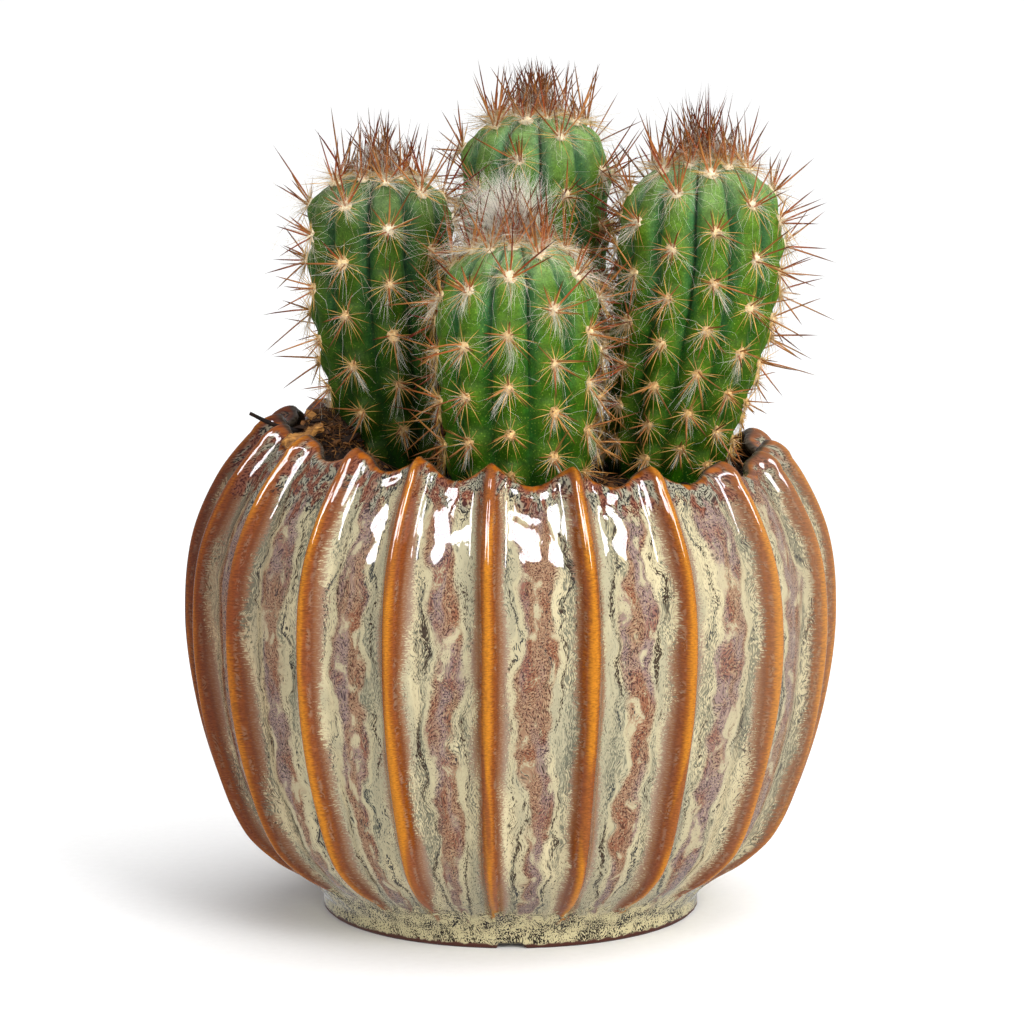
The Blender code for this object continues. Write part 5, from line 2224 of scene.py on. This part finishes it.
@dataclass(frozen=True)
class RimLitter:
    """A piece of litter at the left rim, refined from its CAD solid.

    It has how often the solid's faces are cut, how far its surface is broken up and how dark it
    is, from 0 to 1.
    """

    node: str
    name: str
    slot: str
    cuts: int
    rough_mm: float
    dark: float

    def build(self, frame: dict, material: Material) -> None:
        """Makes the piece, with a broken surface.

        Args:
            material: Its finish.
        """
        mesh = bmesh.new()
        mesh.from_mesh(frame["nodes"][self.node].data)
        bmesh.ops.remove_doubles(mesh, verts=mesh.verts, dist=1e-6)
        bmesh.ops.subdivide_edges(mesh, edges=mesh.edges, cuts=self.cuts, use_grid_fill=True)
        bmesh.ops.triangulate(mesh, faces=mesh.faces)
        mesh.normal_update()
        points = np.array([v.co[:] for v in mesh.verts])
        normals = np.array([v.normal[:] for v in mesh.verts])
        faces = np.array([[v.index for v in f.verts] for f in mesh.faces])
        mesh.free()
        rough = 0.6 * lumps(points / MM, 1.6, 3) + 0.4 * lumps(points / MM, 0.6, 5)
        torn = np.stack([lumps(points / MM, 1.8, seed) for seed in (21, 22, 23)], axis=-1)
        out = normals * (rough * self.rough_mm * MM)[:, None]
        points = points + out + torn * 0.95 * self.rough_mm * MM
        shade = np.clip(self.dark + 0.3 * lumps(points / MM, 1.2, 9), 0.0, 1.0)
        piece = make_piece(self.name, points, [faces], material, {"dark": shade})
        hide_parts(self.node)


RIM_LITTER = (
    RimLitter("bark_chip", "bark_flake", "bark", cuts=5, rough_mm=1.0, dark=0.16),
    RimLitter("twig", "dry_twig", "dry_twig", cuts=1, rough_mm=0.16, dark=0.92),
)


@dataclass(frozen=True)
class Panel:
    """One rectangular studio light."""

    name: str
    place: tuple
    size: tuple
    power: float
    mirrored: bool


@dataclass(frozen=True)
class Studio:
    """The camera, the paper floor and the soft lights."""

    camera_at: tuple = (0.0004, -1.22, 0.31)
    camera_towards: tuple = (0.0004, 0.0, 0.1108)
    lens_mm: float = 156.8
    floor_size: float = 24.0
    aim: tuple = (0.0, 0.0, 0.12)
    sun_power: float = 2.12
    sun_width_deg: float = 84.0
    sun_turn_deg: tuple = (-14.0, 22.0, 0.0)
    sky: str = "#fafafa"
    sky_power: float = 0.48
    mirrored_light: tuple = (0.96, 0.94, 1.0)
    soft_light: tuple = (1.0, 1.0, 1.0)
    panels: tuple = (
        Panel("diffuser_left", (-0.8, -1.35, 0.75), (0.8, 0.8), 7.5, False),
        Panel("diffuser_right", (0.95, -1.2, 0.8), (0.8, 0.8), 24.0, False),
        Panel("strip_left", (-0.69, -0.92, 1.28), (0.6, 0.88), 36.0, True),
        Panel("strip_right", (0.77, -0.9, 1.22), (0.54, 0.92), 33.0, True),
        Panel("strip_top", (-0.08, -1.0, 1.1), (0.8, 0.24), 13.0, True),
    )

    def camera(self) -> None:
        """Makes the camera at the photograph's viewing angle."""
        data = bpy.data.cameras.new("camera")
        data.lens = self.lens_mm
        data.sensor_width = 36.0
        data.dof.use_dof = False
        data.clip_start = 0.05
        data.clip_end = 60.0
        camera = placed("camera", data)
        camera.location = self.camera_at
        towards = Vector(self.camera_towards) - Vector(self.camera_at)
        camera.rotation_euler = towards.to_track_quat("-Z", "Y").to_euler()
        bpy.context.scene.camera = camera

    def _hang(self, panel: Panel) -> None:
        """Hangs one panel: a mirrored one shows in the glaze, the others only light the part.

        Args:
            panel: The panel.
        """
        data = bpy.data.lights.new(panel.name, "AREA")
        data.shape = "ELLIPSE" if panel.mirrored else "RECTANGLE"
        data.size, data.size_y = panel.size
        data.energy = panel.power
        data.color = self.mirrored_light if panel.mirrored else self.soft_light
        lamp = placed(panel.name, data)
        lamp.location = panel.place
        towards = Vector(self.aim) - Vector(panel.place)
        lamp.rotation_euler = towards.to_track_quat("-Z", "Y").to_euler()
        lamp.visible_camera = False
        lamp.visible_glossy = panel.mirrored
        lamp.visible_diffuse = not panel.mirrored

    def light(self) -> None:
        """Hangs the panels and the wide overhead light, and sets the pale surroundings."""
        for panel in self.panels:
            self._hang(panel)
        sun = bpy.data.lights.new("overhead", "SUN")
        sun.energy = self.sun_power
        sun.angle = math.radians(self.sun_width_deg)
        lamp = placed("overhead", sun)
        lamp.rotation_euler = [math.radians(part) for part in self.sun_turn_deg]
        lamp.visible_glossy = False
        world = bpy.data.worlds.new("surroundings")
        world.use_nodes = True
        inputs = world.node_tree.nodes["Background"].inputs
        inputs["Color"].default_value = linear(self.sky)
        inputs["Strength"].default_value = self.sky_power
        bpy.context.scene.world = world
        bpy.context.scene.view_settings.view_transform = "Standard"

    def floor(self, material: Material) -> None:
        """Lays the paper floor, which the polarised lights keep out of the glaze.

        Args:
            material: Its finish.
        """
        mesh = bpy.data.meshes.new("paper_floor")
        half = self.floor_size / 2
        mesh.from_pydata(
            [(-half, -half, 0.0), (half, -half, 0.0), (half, half, 0.0), (-half, half, 0.0)],
            [],
            [(0, 1, 2, 3)],
        )
        mesh.materials.append(material)
        floor = placed("paper_floor", mesh)
        floor.visible_glossy = False


def main() -> None:
    """Builds the scene piece by piece."""
    logging.basicConfig(level=logging.INFO, format="%(name)s %(message)s")
    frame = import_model()
    studio = Studio()
    studio.camera()
    studio.light()
    studio.floor(PaperFloor().build())
    Pot(POT).build(GlazedStoneware().build())
    litter = PlantLitter().build()
    soil = Soil(POT)
    soil.build(PottingSoil().build())
    soil.bits(litter)
    soil.fibres(litter)
    for scrap in RIM_LITTER:
        scrap.build(frame, litter)
    finishes = (CactusSkin().build(), AreoleFelt().build(), DrySpine().build(), WoolHair().build())
    for number, form in enumerate(STEMS):
        others = [other for other in STEMS if other is not form]
        Stem(form, others, number).build(*finishes)


if __name__ == "__main__":
    main()
